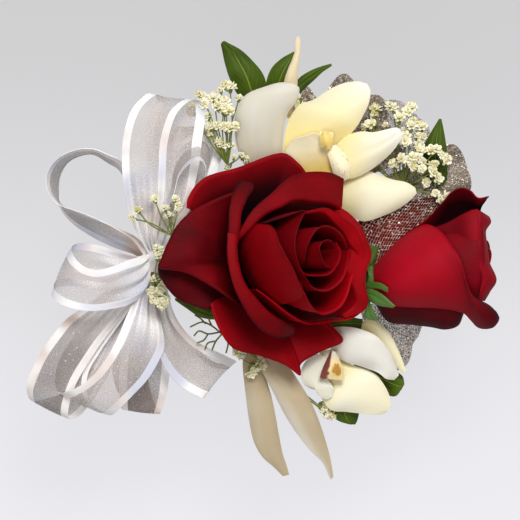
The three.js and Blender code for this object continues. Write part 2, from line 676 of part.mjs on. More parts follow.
function addRose(prefix, group, size, petals) {
  const foot = bundleSeenFrom(group, size.stemFoot);
  const stemPoints = [[0, 0, -size.hipHeight / 2], [0, 0, -size.hipHeight - FLOWER_STEM_RADIUS], foot];
  const shapes = (grow) => roseCalyx(size.hipRadius, size.hipHeight, stemPoints, size.sepals, grow);
  addPiece(group, `${prefix}_calyx`, STEM_GREEN, MATT, shapes);
  const heart = (grow) => [roseHeart(size.heartRadius, size.heartHeight, grow)];
  addPiece(group, `${prefix}_heart`, RED, MATT, heart);
  for (const petal of petals) {
    const colour = petal.name.startsWith("outer") ? DEEP_RED : RED;
    addPiece(group, `${prefix}_petal_${petal.name}`, colour, MATT, (grow) => [rosePetal(petal, grow)]);
  }
}

const mainRose = flowerGroup(MAIN_ROSE_AT, MAIN_ROSE_TILT, MAIN_ROSE_BEARING);
addRose("main_rose", mainRose, {
  hipRadius: HIP_RADIUS,
  hipHeight: HIP_HEIGHT,
  stemFoot: MAIN_ROSE_STEM_FOOT,
  sepals: [[5.5, -2.5], [11, -2.5], [16, -3.5], [20, -6]],
  heartRadius: HEART_RADIUS,
  heartHeight: HEART_HEIGHT,
}, MAIN_ROSE_PETALS);

const sideRose = flowerGroup(SIDE_ROSE_AT, SIDE_ROSE_TILT, SIDE_ROSE_BEARING);
addRose("side_rose", sideRose, {
  hipRadius: SIDE_HIP_RADIUS,
  hipHeight: SIDE_HIP_HEIGHT,
  stemFoot: SIDE_ROSE_STEM_FOOT,
  sepals: [[4.5, -2], [9, -0.5], [13.5, 2.5], [17.5, 6]],
  heartRadius: SIDE_HEART_RADIUS,
  heartHeight: SIDE_HEART_HEIGHT,
}, SIDE_ROSE_PETALS);

// Orchids

const TEPAL_SHAPE = { base: 0.35, widest: 0.55, tip: 0.2, round: 0.6 };
const LIP_SHAPE = { base: 0.6, widest: 0.6, tip: 0.55, round: 0.5 };

function addOrchid(prefix, at, tepals, lip, column, stemFoot) {
  const group = flowerGroup(at, 0, 0);
  const foot = bundleSeenFrom(group, stemFoot);
  const halfway = foot.map((value, axis) => value * [0.5, 0.5, 0.75][axis]);
  addPiece(group, `${prefix}_column`, CREAM, SATIN, (grow) => [
    stem(column, COLUMN_RADIUS, grow, 8, 4),
    stem([column[0], [0, 0, -1], halfway, foot], FLOWER_STEM_RADIUS, grow, 6, 6),
  ]);
  const waxy = { half: LIP_HALF, cup: LIP_CUP, shape: LIP_SHAPE, thickness: PETAL_THICKNESS };
  const lipRow = { ...waxy, midline: vectors(lip) };
  addPiece(group, `${prefix}_lip`, LIP_YELLOW, SATIN, (grow) => [blade(lipRow, grow, 4, 4)]);
  for (const tepal of tepals) {
    const row = { ...tepal, midline: vectors(tepal.midline), shape: TEPAL_SHAPE, thickness: PETAL_THICKNESS };
    addPiece(group, `${prefix}_tepal_${tepal.name}`, CREAM, SATIN, (grow) => [blade(row, grow, 7, 3)]);
  }
}

const UPPER_LIP = [[1.5, -1, 2.5], [3, -2.5, 6.5], [6, -4, 8.5], [9, -6, 7]];
const UPPER_COLUMN = [[0, 0, 0], [-0.6, 1.5, 3], [-0.8, 3.5, 7.5]];
const LOWER_LIP = [[0.5, -0.5, 2.5], [-1.5, -1, 5.5], [-4.5, -2, 6.5], [-7.5, -3, 5]];
const LOWER_COLUMN = [[0, 0, 0], [1.2, 0.2, 3], [2.6, 0, 6.5]];
addOrchid(
  "upper_orchid", UPPER_ORCHID_AT, UPPER_ORCHID_TEPALS, UPPER_LIP, UPPER_COLUMN, UPPER_ORCHID_STEM_FOOT,
);
addOrchid(
  "lower_orchid", LOWER_ORCHID_AT, LOWER_ORCHID_TEPALS, LOWER_LIP, LOWER_COLUMN, LOWER_ORCHID_STEM_FOOT,
);

// Leaves

const LEAF_CUP = 14; // radius of the hollow across a leaf
const LEAF_SHAPE = { base: 0.15, widest: 0.45, tip: 0.08, round: 0.9 };

function addLeaves(name, twig, leaves) {
  const glossy = { cup: LEAF_CUP, shape: LEAF_SHAPE, thickness: LEAF_THICKNESS };
  const rows = leaves.map((leaf) => ({ ...leaf, ...glossy, midline: vectors(leaf.midline) }));
  addPiece(spray, name, LEAF_GREEN, SATIN, (grow) => [
    stem(twig, TWIG_RADIUS, grow, 6, 6),
    ...rows.map((row) => blade(row, grow, 6, 2)),
  ]);
}
addLeaves("upper_leaf_sprig", UPPER_TWIG, UPPER_LEAVES);
addLeaves("right_leaf_sprig", RIGHT_TWIG, RIGHT_LEAVES);
addLeaves("lower_leaf_sprig", LOWER_TWIG, LOWER_LEAVES);

// Bow

function bowKnot(grow) {
  const half = KNOT_HEIGHT / 2;
  const waist = KNOT_RADIUS * KNOT_WAIST_SHARE;
  const profile = [[0, -half], [KNOT_RADIUS, -half], [waist, 0], [KNOT_RADIUS, half], [0, half]];
  return turned(profile, grow, 12);
}

// One loop of ribbon: out from the knot and back, drawn in at the knot.
function ribbonLoop({ bearing, rise, roll, reach, gap, lift }, grow) {
  const [angle, climb, turn] = [bearing, rise, roll].map(THREE.MathUtils.degToRad);
  const ahead = new THREE.Vector3(Math.cos(angle), Math.sin(angle), 0);
  const out = ahead.multiplyScalar(Math.cos(climb)).setZ(Math.sin(climb));
  const level = new THREE.Vector3(-Math.sin(angle), Math.cos(angle), 0);
  const across = level.applyAxisAngle(out, turn);
  const open = out.clone().cross(across);
  const start = KNOT_RADIUS + CLEARANCE;
  const bothStrands = 2 * (RIBBON_THICKNESS + CLEARANCE);
  const stretch = grow / (2 * reach);
  const pointAt = (share, v) => {
    const u = -stretch + share * (1 + 2 * stretch);
    const t = THREE.MathUtils.clamp(u, 0, 1);
    const past = 2 * reach * Math.abs(u - t);
    const far = start - past + ((reach - start) * (1 - Math.cos(2 * Math.PI * t))) / 2;
    const teardrop = Math.sin(2 * Math.PI * t) * Math.sin(Math.PI * t);
    const apart = LOOP_FULLNESS * gap * teardrop + bothStrands * Math.cos(Math.PI * t);
    const drawn = THREE.MathUtils.smoothstep(Math.sin(Math.PI * t), 0, 0.6);
    const width = RIBBON_WIDTH * THREE.MathUtils.lerp(KNOT_WIDTH_SHARE, 1, drawn) + 2 * grow;
    const point = new THREE.Vector3(0, 0, lift).addScaledVector(out, far);
    return point.addScaledVector(open, apart).addScaledVector(across, (v * width) / 2);
  };
  return sheet(pointAt, 16, 1, RIBBON_THICKNESS + 2 * grow);
}

const bow = flowerGroup(KNOT_AT, 0, 0);
addPiece(bow, "bow_knot", RIBBON_WHITE, SATIN, (grow) => [bowKnot(grow)]);
for (const loop of BOW_LOOPS) {
  addPiece(bow, `bow_loop_${loop.name}`, RIBBON_WHITE, SATIN, (grow) => [ribbonLoop(loop, grow)]);
}

// Filler sprigs

function fillerSprig({ stem: stalk, blossoms }, grow) {
  const fork = stalk.at(-1);
  const shapes = [stem(stalk, STALK_RADIUS, grow, 5, 4)];
  for (const at of blossoms) {
    const bend = fork.map((value, axis) => (value + at[axis]) / 2 + (axis === 2 ? TWIG_ARCH : 0));
    shapes.push(stem([fork, bend, at], TWIG_RADIUS, grow, 4, 2));
    shapes.push(new THREE.IcosahedronGeometry(BLOSSOM_RADIUS + grow, 0).translate(...at));
  }
  return shapes;
}
for (const sprig of FILLER_SPRIGS) {
  addPiece(spray, `filler_sprig_${sprig.name}`, IVORY, MATT, (grow) => fillerSprig(sprig, grow));
}

// Net

const NET_CUP = 60;
const NET_SHAPE = { base: 0.25, widest: 0.8, tip: 0.75, round: 0.5 };

const NET_MESH = { cup: NET_CUP, shape: NET_SHAPE, thickness: NET_THICKNESS };

for (const net of NET_SHEETS) {
  const row = { ...net, ...NET_MESH, midline: vectors(net.midline) };
  addPiece(spray, `net_${net.name}`, NET_BRONZE, MATT, (grow) => [blade(row, grow, 4, 8)]);
}

export default corsage;
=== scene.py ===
"""Dresses the wrist corsage: two roses, two orchids, leaves, filler blossom, net, ribbon bow and wristlet.

Sizes are millimetres in the part's frame until a mesh is made, and metres from there on.
"""

from __future__ import annotations

import logging
import math
from dataclasses import dataclass, field
from enum import Enum
from typing import Any, Callable, Iterable, Sequence

import bpy
import numpy as np
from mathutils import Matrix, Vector

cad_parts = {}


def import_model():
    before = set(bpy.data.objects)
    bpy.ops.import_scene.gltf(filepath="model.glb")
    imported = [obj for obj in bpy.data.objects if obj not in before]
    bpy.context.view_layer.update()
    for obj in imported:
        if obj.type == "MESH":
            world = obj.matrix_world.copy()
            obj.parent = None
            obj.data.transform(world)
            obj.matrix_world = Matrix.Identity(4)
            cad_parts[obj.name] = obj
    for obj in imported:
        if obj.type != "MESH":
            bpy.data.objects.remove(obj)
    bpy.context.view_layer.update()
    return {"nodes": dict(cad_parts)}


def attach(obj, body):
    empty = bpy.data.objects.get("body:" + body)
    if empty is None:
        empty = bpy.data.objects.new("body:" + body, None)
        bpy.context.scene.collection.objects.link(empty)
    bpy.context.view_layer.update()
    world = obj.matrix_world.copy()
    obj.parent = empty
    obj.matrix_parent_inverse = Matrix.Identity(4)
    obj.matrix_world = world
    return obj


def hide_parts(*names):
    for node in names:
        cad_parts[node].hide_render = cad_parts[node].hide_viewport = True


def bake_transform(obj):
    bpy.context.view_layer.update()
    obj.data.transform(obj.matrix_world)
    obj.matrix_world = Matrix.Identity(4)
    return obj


LOG = logging.getLogger("corsage")
MM = 0.001
BODY = "corsage"
SPRAY_HEIGHT = 4.5  # the stem bundle's middle above the wrist

Array = np.ndarray
Piece = bpy.types.Object
Colour = tuple[float, ...]
Point = tuple[float, float, float]
Rows = tuple[tuple[float, ...], ...]
Values = dict[str, Any]


class Slot(Enum):
    """Material slots of the part's record."""

    STEEL = "plate_steel"
    ELASTIC = "elastic"
    TAPE = "stem_tape"
    CALYX = "calyx_green"
    ROSE = "rose_red"
    ORCHID = "orchid_cream"
    LIP = "orchid_lip"
    LEAF = "leaf_green"
    BLOSSOM = "blossom"
    RIBBON = "ribbon"
    NET = "glitter_net"


def linear(*display: int) -> Colour:
    """A display colour of 0 to 255 as the linear colour that shaders take.

    Args:
        display: Red, green and blue as displayed.

    Returns:
        Linear red, green, blue and full alpha.
    """
    shares = (value / 255 for value in display)
    light = [share / 12.92 if share <= 0.04045 else ((share + 0.055) / 1.055) ** 2.4 for share in shares]
    return (*light, 1.0)


# Node trees


def math_node(operation: str, swapped: bool = False) -> Callable[..., Wire]:
    """Makes a method that adds a Math node to its wire's tree.

    Args:
        operation: The node's operation.
        swapped: Whether the other value comes first.

    Returns:
        The method, which takes the other value and gives the result's wire.
    """

    def add(wire: Wire, other: Wire | float = 0.0) -> Wire:
        """Adds the node."""
        pair = (other, wire) if swapped else (wire, other)
        return wire.graph.node("ShaderNodeMath", {"operation": operation}, dict(enumerate(pair)))

    return add


@dataclass(frozen=True)
class Wire:
    """A node's socket, with arithmetic that adds Math nodes to its tree."""

    graph: Graph
    socket: bpy.types.NodeSocket

    __add__ = math_node("ADD")
    __radd__ = math_node("ADD", True)
    __sub__ = math_node("SUBTRACT")
    __rsub__ = math_node("SUBTRACT", True)
    __mul__ = math_node("MULTIPLY")
    __rmul__ = math_node("MULTIPLY", True)
    __truediv__ = math_node("DIVIDE")
    __rtruediv__ = math_node("DIVIDE", True)
    __pow__ = math_node("POWER")
    __abs__ = math_node("ABSOLUTE")
    sine = math_node("SINE")
    larger = math_node("MAXIMUM")

    def step(self, low: float, high: float) -> Wire:
        """A smooth step.

        Args:
            low: Where the step begins.
            high: Where it ends; below low for a step down.

        Returns:
            A value from 0 to 1.
        """
        ends = (low, high, 0.0, 1.0) if low < high else (high, low, 1.0, 0.0)
        settings = {"interpolation_type": "SMOOTHSTEP"}
        return self.graph.node("ShaderNodeMapRange", settings, dict(enumerate((self, *ends))))


@dataclass
class Graph:
    """A node tree that grows by expressions."""

    tree: bpy.types.NodeTree

    def feed(self, socket: bpy.types.NodeSocket, value: Any) -> None:
        """Links a wire to a socket, or sets a plain value on it.

        Args:
            socket: The input to feed.
            value: A wire, a number, a colour, a vector or a data-block.
        """
        if isinstance(value, Wire):
            self.tree.links.new(value.socket, socket)
        else:
            socket.default_value = value

    def node(
        self,
        kind: str,
        settings: Values | None = None,
        sockets: dict[Any, Any] | None = None,
        output: int | str = 0,
    ) -> Wire:
        """Adds a node.

        Args:
            kind: The node's type.
            settings: Its properties, set before its sockets.
            sockets: The values or wires of its inputs, by index or name.
            output: The output to carry on from.

        Returns:
            That output.
        """
        made = self.tree.nodes.new(kind)
        for name, value in (settings or {}).items():
            setattr(made, name, value)
        for key, value in (sockets or {}).items():
            self.feed(made.inputs[key], value)
        return Wire(self, made.outputs[output])

    def mix(self, share: Wire | float, first: Any, second: Any) -> Wire:
        """Mixes two colours, with a share of the second."""
        return self.node("ShaderNodeMix", {"data_type": "RGBA"}, {0: share, 6: first, 7: second}, 2)

    def own_place(self) -> Wire:
        """The place on the piece in metres."""
        return self.node("ShaderNodeTexCoord", None, None, "Object")

    def across_and_along(self) -> tuple[Wire, Wire]:
        """The piece's own UV map: the place across it and along it, each from 0 to 1."""
        place = self.node("ShaderNodeUVMap", {"uv_map": "UVMap"})
        return tuple(self.node("ShaderNodeSeparateXYZ", None, {0: place}, axis) for axis in (0, 1))

    def mark(self, name: str) -> Wire:
        """A number that the mesh carries at each point."""
        return self.node("ShaderNodeAttribute", {"attribute_name": name}, None, "Fac")

    def noise(self, vector: Wire | None, scale: float, detail: float = 2.0) -> Wire:
        """Soft random values about 0.5, looked up by a vector or by the place on the piece."""
        sockets = {"Vector": vector or self.own_place(), "Scale": scale, "Detail": detail}
        return self.node("ShaderNodeTexNoise", None, sockets)

    def vector(self, x: Wire | float, y: Wire | float, z: Wire | float = 0.0) -> Wire:
        """Joins three values into a vector."""
        return self.node("ShaderNodeCombineXYZ", None, {0: x, 1: y, 2: z})

    def bump(self, height: Wire, depth_mm: float, strength: float) -> Wire:
        """A normal that follows a height of 0 to 1, where 1 is as deep as said."""
        sockets = {"Height": height, "Distance": depth_mm * MM, "Strength": strength}
        return self.node("ShaderNodeBump", None, sockets)


# Finishes


@dataclass(frozen=True)
class Finish:
    """A material that is made once and shared by the pieces that have it."""

    name: str

    def material(self) -> bpy.types.Material:
        """Makes the material, or finds it if it is made."""
        made = bpy.data.materials.get(self.name)
        if made is None:
            made = bpy.data.materials.new(self.name)
            made.use_nodes = True
            graph = Graph(made.node_tree)
            shader = made.node_tree.nodes["Principled BSDF"]
            for socket, value in self.dress(graph).items():
                graph.feed(shader.inputs[socket], value)
        return made

    def dress(self, graph: Graph) -> Values:
        """Works out the shader's values.

        Args:
            graph: The material's node tree.

        Returns:
            Values and wires by the shader's socket.
        """
        raise NotImplementedError


@dataclass(frozen=True)
class RosePetalFinish(Finish):
    """Velvety petal: streaked along its length; deeper towards its foot, where shade is painted, and towards
    its rim; its tone mark paints each petal's light and shade, partly its own depth of red.
    """

    bright: Colour = linear(200, 4, 20)
    deep: Colour = linear(40, 1, 6)
    # near-black red of the painted shade at the petals' feet
    hollow: Colour = linear(12, 0, 2)
    streaks: float = 46.0

    def dress(self, graph: Graph) -> Values:
        """See Finish.dress."""
        across, along = graph.across_and_along()
        fan = (across - 0.5) / (along * 0.7 + 0.3)
        streak = graph.noise(graph.vector(fan * self.streaks, along * 2.2), 1.0, 3.0)
        cloud = graph.noise(None, 90.0)
        cells = graph.noise(None, 2600.0, 1.0)
        # painted shade: the petal's foot, which the petals in front would shade, darkens to near black up to
        # the height its mark gives
        lit = (along - graph.mark("hollow")).step(-0.55, 0.05)
        # darker rim: partly the petal's own dark edge, partly painted shade that dulls the highlight along
        # the rim
        rim = along.step(0.93, 1.0) * 0.14
        # the tone mark paints each petal's light and shade, partly its own depth of red
        light = graph.mark("tone") + (cloud - 0.5) * 0.4 + (streak - 0.5) * 0.16 - rim
        return {
            "Base Color": graph.mix(lit, self.hollow, graph.mix(light, self.deep, self.bright)),
            "Roughness": cloud * 0.2 + 0.55,
            "Specular IOR Level": 0.08,
            "Sheen Weight": 0.05,
            "Sheen Roughness": 0.4,
            "Sheen Tint": linear(214, 40, 64),
            "Normal": graph.bump(streak * 0.6 + cells * 0.4, 0.1, 0.6),
        }


@dataclass(frozen=True)
class TepalFinish(Finish):
    """Waxy cream petal with faint ribs along it, yellower at its foot."""

    pale: Colour = linear(246, 243, 232)
    cream: Colour = linear(246, 228, 158)
    ribs: float = 26.0

    def dress(self, graph: Graph) -> Values:
        """See Finish.dress."""
        across, along = graph.across_and_along()
        rib = graph.noise(graph.vector(across * self.ribs, along * 1.5), 1.0)
        cloud = graph.noise(None, 70.0)
        foot = along.step(0.45, 0.0) * 0.45
        warmth = graph.mark("tone") + foot + (cloud - 0.5) * 0.5 + (rib - 0.5) * 0.15
        return {
            "Base Color": graph.mix(warmth, self.pale, self.cream),
            "Roughness": rib * 0.15 + 0.4,
            "Specular IOR Level": 0.2,
            "Subsurface Weight": 0.15,
            "Subsurface Radius": (1.0, 0.7, 0.4),
            "Subsurface Scale": 0.0015,
            "Normal": graph.bump(rib, 0.18, 0.35),
        }


@dataclass(frozen=True)
class LipFinish(Finish):
    """Waxy lip: cream lobes with a golden side, and a callus with an ochre spot and a red-brown side.

    The tone mark is 0 on a lobe, 1 on the callus and below 0 on a lobe with pink flecks.
    """

    pale: Colour = linear(246, 239, 216)
    yellow: Colour = linear(240, 208, 112)
    ochre: Colour = linear(176, 120, 28)
    brown: Colour = linear(112, 26, 14)
    blush: Colour = linear(214, 120, 122)
    spot: tuple[float, float] = (0.55, 0.5)
    spot_size: float = 0.14
    spot_blur: float = 0.1
    gold: float = 0.0  # how yellow the far side of a lobe is
    streak_reach: float = 0.0

    def dress(self, graph: Graph) -> Values:
        """See Finish.dress."""
        across, along = graph.across_and_along()
        tone = graph.mark("tone")
        callus = tone.step(0.4, 0.6)
        rough = graph.noise(graph.vector(across * 9.0, along * 7.0), 1.0, 3.0) - 0.5
        reach = ((across - self.spot[0]) ** 2.0 + (along - self.spot[1]) ** 2.0) ** 0.5 + rough * 0.3
        golden = across.step(0.2, 0.8) * (1.0 - callus) * tone.step(-0.5, -0.1)
        spot = reach.step(self.spot_size + self.spot_blur, self.spot_size) * callus
        streak = (across + rough * 0.3).step(self.streak_reach, self.streak_reach - 0.1) * callus
        colour = graph.mix(golden * self.gold, self.pale, self.yellow)
        colour = graph.mix(reach.step(0.6, 0.2) * callus * 0.8, colour, self.yellow)
        colour = graph.mix(spot * 0.9, colour, self.ochre)
        colour = graph.mix(rough.step(0.1, 0.2) * tone.step(-0.2, -0.8) * 0.8, colour, self.blush)
        return {
            "Base Color": graph.mix(streak * 0.95, colour, self.brown),
            "Roughness": rough * 0.2 + 0.4,
            "Specular IOR Level": 0.3,
            "Normal": graph.bump(rough + 0.5, 0.3, 0.5),
        }


@dataclass(frozen=True)
class LeafFinish(Finish):
    """Glossy leaf with a pale midrib and side veins."""

    dark: Colour = linear(34, 54, 3)
    fresh: Colour = linear(86, 110, 14)
    rib: Colour = linear(136, 152, 62)
    veins: float = 11.0

    def dress(self, graph: Graph) -> Values:
        """See Finish.dress."""
        across, along = graph.across_and_along()
        aside = abs(across - 0.5)
        cloud = graph.noise(None, 120.0)
        vein = ((along - aside * 0.7) * (self.veins * math.tau)).sine().step(0.86, 1.0)
        midrib = aside.step(0.035, 0.008)
        green = graph.mix(cloud * 1.3 - 0.3 + graph.mark("tone") * 0.35, self.dark, self.fresh)
        return {
            "Base Color": graph.mix(midrib * 0.6 + vein * 0.14, green, self.rib),
            "Roughness": cloud * 0.2 + 0.4,
            "Specular IOR Level": 0.16,
            "Normal": graph.bump(1.0 - midrib * 0.8 - vein * 0.4, 0.14, 0.7),
        }


@dataclass(frozen=True)
class StreakedFinish(Finish):
    """Green skin of hips, sepals and stems, or the wrinkled tape round them."""

    dark: Colour = linear(52, 78, 22)
    fresh: Colour = linear(98, 136, 44)
    streaks: tuple[float, float] = (18.0, 2.0)  # across and along
    clouds: float = 160.0
    shares: Point = (0.6, 0.7, -0.15)  # of the streaks, of the clouds, and what is added to both
    roughness: tuple[float, float] = (0.25, 0.38)  # how far it varies, and its least
    relief: tuple[float, float] = (0.12, 0.6)  # millimetres, and how much of it shows

    def dress(self, graph: Graph) -> Values:
        """See Finish.dress."""
        across, along = graph.across_and_along()
        streak = graph.noise(graph.vector(across * self.streaks[0], along * self.streaks[1]), 1.0, 3.0)
        cloud = graph.noise(None, self.clouds)
        light = streak * self.shares[0] + cloud * self.shares[1] + self.shares[2]
        return {
            "Base Color": graph.mix(light, self.dark, self.fresh),
            "Roughness": cloud * self.roughness[0] + self.roughness[1],
            "Normal": graph.bump(streak, *self.relief),
        }


@dataclass(frozen=True)
class BlossomFinish(Finish):
    """Ivory blossom heads on green cups and twigs, told apart by the mesh's green mark."""

    ivory: Colour = linear(253, 248, 220)
    cream: Colour = linear(224, 210, 132)
    twig: Colour = linear(60, 66, 28)
    cup: Colour = linear(148, 158, 66)

    def dress(self, graph: Graph) -> Values:
        """See Finish.dress."""
        cloud = graph.noise(None, 460.0)
        head = graph.mix(cloud.step(0.48, 0.74), self.ivory, self.cream)
        stalk = graph.mix(cloud, self.twig, self.cup)
        return {
            "Base Color": graph.mix(graph.mark("green"), head, stalk),
            "Roughness": cloud * 0.2 + 0.5,
            "Normal": graph.bump(cloud, 0.1, 0.5),
        }


@dataclass(frozen=True)
class RibbonFinish(Finish):
    """Sheer woven ribbon with an opaque satin edge along each side, denser where it is gathered, with
    painted glints on the sheer, painted sheen and shade on the satin, and whiter near the knot, partly
    painted light.
    """

    white: Colour = linear(252, 250, 249)
    # rosy and cool greys clouded into the white satin: painted sheen and shade of the satin
    rosy_painted_shade: Colour = linear(228, 213, 206)
    cool_painted_shade: Colour = linear(212, 215, 230)
    shade: Colour = linear(201, 190, 185)
    sheer_cover: float = 0.34
    satin_share: float = 0.17  # width of one satin edge in the ribbon's width
    satin_blur: float = 0.006
    threads: float = 36.0
    length_ratio: float = 6.0  # the loop's length in ribbon widths

    def dress(self, graph: Graph) -> Values:
        """See Finish.dress."""
        across, along = graph.across_and_along()
        inner = 0.5 - self.satin_share
        satin = abs(across - 0.5).step(inner - self.satin_blur, inner + self.satin_blur)
        # near the knot the gathered cloth is denser and whiter; the whiteness is partly painted light
        gathered = abs(along - 0.5).step(0.18, 0.42)
        grid = graph.vector(across * self.threads, along * (self.threads * self.length_ratio))
        weave = graph.noise(grid, 1.0, 1.0)
        cloud = graph.noise(None, 70.0)
        tint = graph.noise(None, 45.0)
        # painted glints: white specks in the sheer's colour, which is also denser there
        painted_glint = graph.noise(None, 1700.0, 1.0).step(0.7, 0.78) * (1.0 - satin)
        sheer = (weave - 0.5) * 0.8 + (cloud - 0.5) * 0.5 + self.sheer_cover + painted_glint * 0.3 + gathered * 0.5
        lines = (across * (self.threads * math.tau)).sine() * 0.5 + 0.5
        # painted sheen and shade: the satin's white clouded with rosy and cool greys
        silk = graph.mix(cloud.step(0.45, 0.65) * 0.9, self.white, self.rosy_painted_shade)
        silk = graph.mix(tint.step(0.5, 0.66) * 0.9, silk, self.cool_painted_shade)
        colour = graph.mix((1.0 - satin) * (0.9 - gathered * 0.85), silk, self.shade)
        return {
            "Base Color": graph.mix(painted_glint, colour, self.white),
            "Roughness": 0.52 - satin * 0.2,
            "Alpha": satin.larger(sheer),
            "Specular IOR Level": 0.4,
            "Sheen Weight": 0.15,
            "Sheen Roughness": 0.3,
            "Normal": graph.bump(lines * satin + weave * (1.0 - satin), 0.05, 0.5),
        }


@dataclass(frozen=True)
class GlitterFinish(Finish):
    """Metallic thread or flake, light and dark bronze in patches; on the flakes the light ones stand in for
    glints, as painted highlights.
    """

    light: Colour = linear(222, 212, 198)
    dark_bronze: Colour = linear(128, 106, 76)
    grain: float = 900.0
    metallic: float = 0.35

    def dress(self, graph: Graph) -> Values:
        """See Finish.dress."""
        spots = graph.noise(None, self.grain)
        return {
            "Base Color": graph.mix(spots.step(0.42, 0.58), self.light, self.dark_bronze),
            "Metallic": self.metallic,
            "Roughness": spots * 0.25 + 0.2,
        }


@dataclass(frozen=True)
class VeilFinish(Finish):
    """The fine sheer ground that the glitter net is knitted on."""

    cover: float
    colour: Colour = linear(120, 104, 82)
    bronze: Colour = linear(70, 54, 32)

    def dress(self, graph: Graph) -> Values:
        """See Finish.dress."""
        cloud = graph.noise(None, 160.0)
        grain = graph.noise(None, 2400.0, 1.0)
        return {
            "Base Color": graph.mix(cloud, self.colour, self.bronze),
            "Metallic": 0.3,
            "Roughness": grain * 0.3 + 0.35,
            "Alpha": (grain - 0.5) * 1.2 + self.cover,
            "Normal": graph.bump(grain, 0.06, 0.6),
        }


@dataclass(frozen=True)
class ElasticFinish(Finish):
    """White knitted elastic: fine cross threads between its ribs."""

    white: Colour = linear(251, 250, 247)
    shade: Colour = linear(230, 228, 224)
    threads: float = 420.0

    def dress(self, graph: Graph) -> Values:
        """See Finish.dress."""
        across, along = graph.across_and_along()
        cloud = graph.noise(None, 300.0)
        cross = (along * (self.threads * math.tau) + across * 40.0).sine() * 0.5 + 0.5
        return {
            "Base Color": graph.mix(cross * 0.4 + cloud * 0.4, self.white, self.shade),
            "Roughness": cloud * 0.15 + 0.7,
            "Sheen Weight": 0.2,
            "Normal": graph.bump(cross, 0.12, 0.8),
        }


@dataclass(frozen=True)
class SteelFinish(Finish):
    """Thin stamped steel, brushed along the plate with a few dull patches."""

    bright: Colour = linear(206, 206, 208)
    dull: Colour = linear(150, 150, 152)

    def dress(self, graph: Graph) -> Values:
        """See Finish.dress."""
        stretched = {"Vector": graph.own_place(), "Scale": (60.0, 1.0, 60.0)}
        grain = graph.noise(graph.node("ShaderNodeMapping", None, stretched), 60.0, 3.0)
        cloud = graph.noise(None, 140.0)
        return {
            "Base Color": graph.mix(cloud * 0.8, self.bright, self.dull),
            "Metallic": 1.0,
            "Roughness": grain * 0.25 + cloud * 0.15 + 0.18,
            "Normal": graph.bump(grain, 0.03, 0.6),
        }


@dataclass(frozen=True)
class ThreadFinish(Finish):
    """Sewing thread, twisted and slightly glossy."""

    white: Colour = linear(246, 244, 238)
    shade: Colour = linear(196, 190, 180)

    def dress(self, graph: Graph) -> Values:
        """See Finish.dress."""
        cloud = graph.noise(None, 1800.0)
        return {"Base Color": graph.mix(cloud, self.white, self.shade), "Roughness": cloud * 0.2 + 0.4}


# Curves and sheets


def curve(points: Sequence[Sequence[float]], count: int) -> Array:
    """Samples a smooth line through points that doesn't overshoot them.

    Args:
        points: Two or more points of any dimension.
        count: How many samples, even from point to point.

    Returns:
        The samples, one in a row.
    """
    knots = np.asarray(points, float)
    padded = np.vstack([2 * knots[0] - knots[1], knots, 2 * knots[-1] - knots[-2]])
    gaps = np.maximum(np.sqrt(np.linalg.norm(np.diff(padded, axis=0), axis=1)), 1e-6)
    place = np.linspace(0, len(knots) - 1, count)
    start = np.minimum(place.astype(int), len(knots) - 2)
    t = (place - start)[:, None]
    p0, p1, p2, p3 = (padded[start + i] for i in range(4))
    d0, d1, d2 = (gaps[start + i][:, None] for i in range(3))
    leave = ((p1 - p0) / d0 - (p2 - p0) / (d0 + d1) + (p2 - p1) / d1) * d1
    arrive = ((p2 - p1) / d1 - (p3 - p1) / (d1 + d2) + (p3 - p2) / d2) * d1
    cubic = 2 * (p1 - p2) + leave + arrive
    square = 3 * (p2 - p1) - 2 * leave - arrive
    return ((cubic * t + square) * t + leave) * t + p1


def unit(vectors: Array) -> Array:
    """Vectors of length 1 along their last axis."""
    return vectors / np.maximum(np.linalg.norm(vectors, axis=-1, keepdims=True), 1e-9)


def smooth_step(values: Array, low: float, high: float) -> Array:
    """A smooth step from 0 at low to 1 at high."""
    t = np.clip((values - low) / (high - low), 0, 1)
    return t * t * (3 - 2 * t)


def around(count: int) -> Array:
    """Angles once round, without the last."""
    return np.linspace(0, math.tau, count, endpoint=False)


def faces_up(rows: int, columns: int) -> Array:
    """Quads over a grid of points, row by row."""
    index = np.arange(rows * columns).reshape(rows, columns)
    corners = (index[:-1, :-1], index[1:, :-1], index[1:, 1:], index[:-1, 1:])
    return np.stack(corners, axis=-1).reshape(-1, 4)


@dataclass
class Patch:
    """Points, faces, a UV place and marks for each point, before they become a mesh."""

    points: Array
    faces: list[list[int]]
    places: Array
    marks: dict[str, Array] = field(default_factory=dict)

    def mark(self, name: str, value: float | Array) -> Patch:
        """Gives the points a mark, the same for all or one for each."""
        self.marks[name] = np.full(len(self.points), value)
        return self


def join(patches: Iterable[Patch]) -> Patch:
    """Joins patches that carry the same marks into one."""
    parts = list(patches)
    starts = np.cumsum([0] + [len(part.points) for part in parts])
    faces = [[i + start for i in face] for part, start in zip(parts, starts) for face in part.faces]
    marks = {name: np.concatenate([part.marks[name] for part in parts]) for name in parts[0].marks}
    points = np.vstack([part.points for part in parts])
    return Patch(points, faces, np.vstack([part.places for part in parts]), marks)


def grid_places(rows: int, columns: int) -> Array:
    """UV places of a grid: across from 0 to 1 over its columns, along from 0 to 1 over its rows."""
    along, across = np.meshgrid(np.linspace(0, 1, rows), np.linspace(0, 1, columns), indexing="ij")
    return np.stack([across, along], axis=-1).reshape(-1, 2)


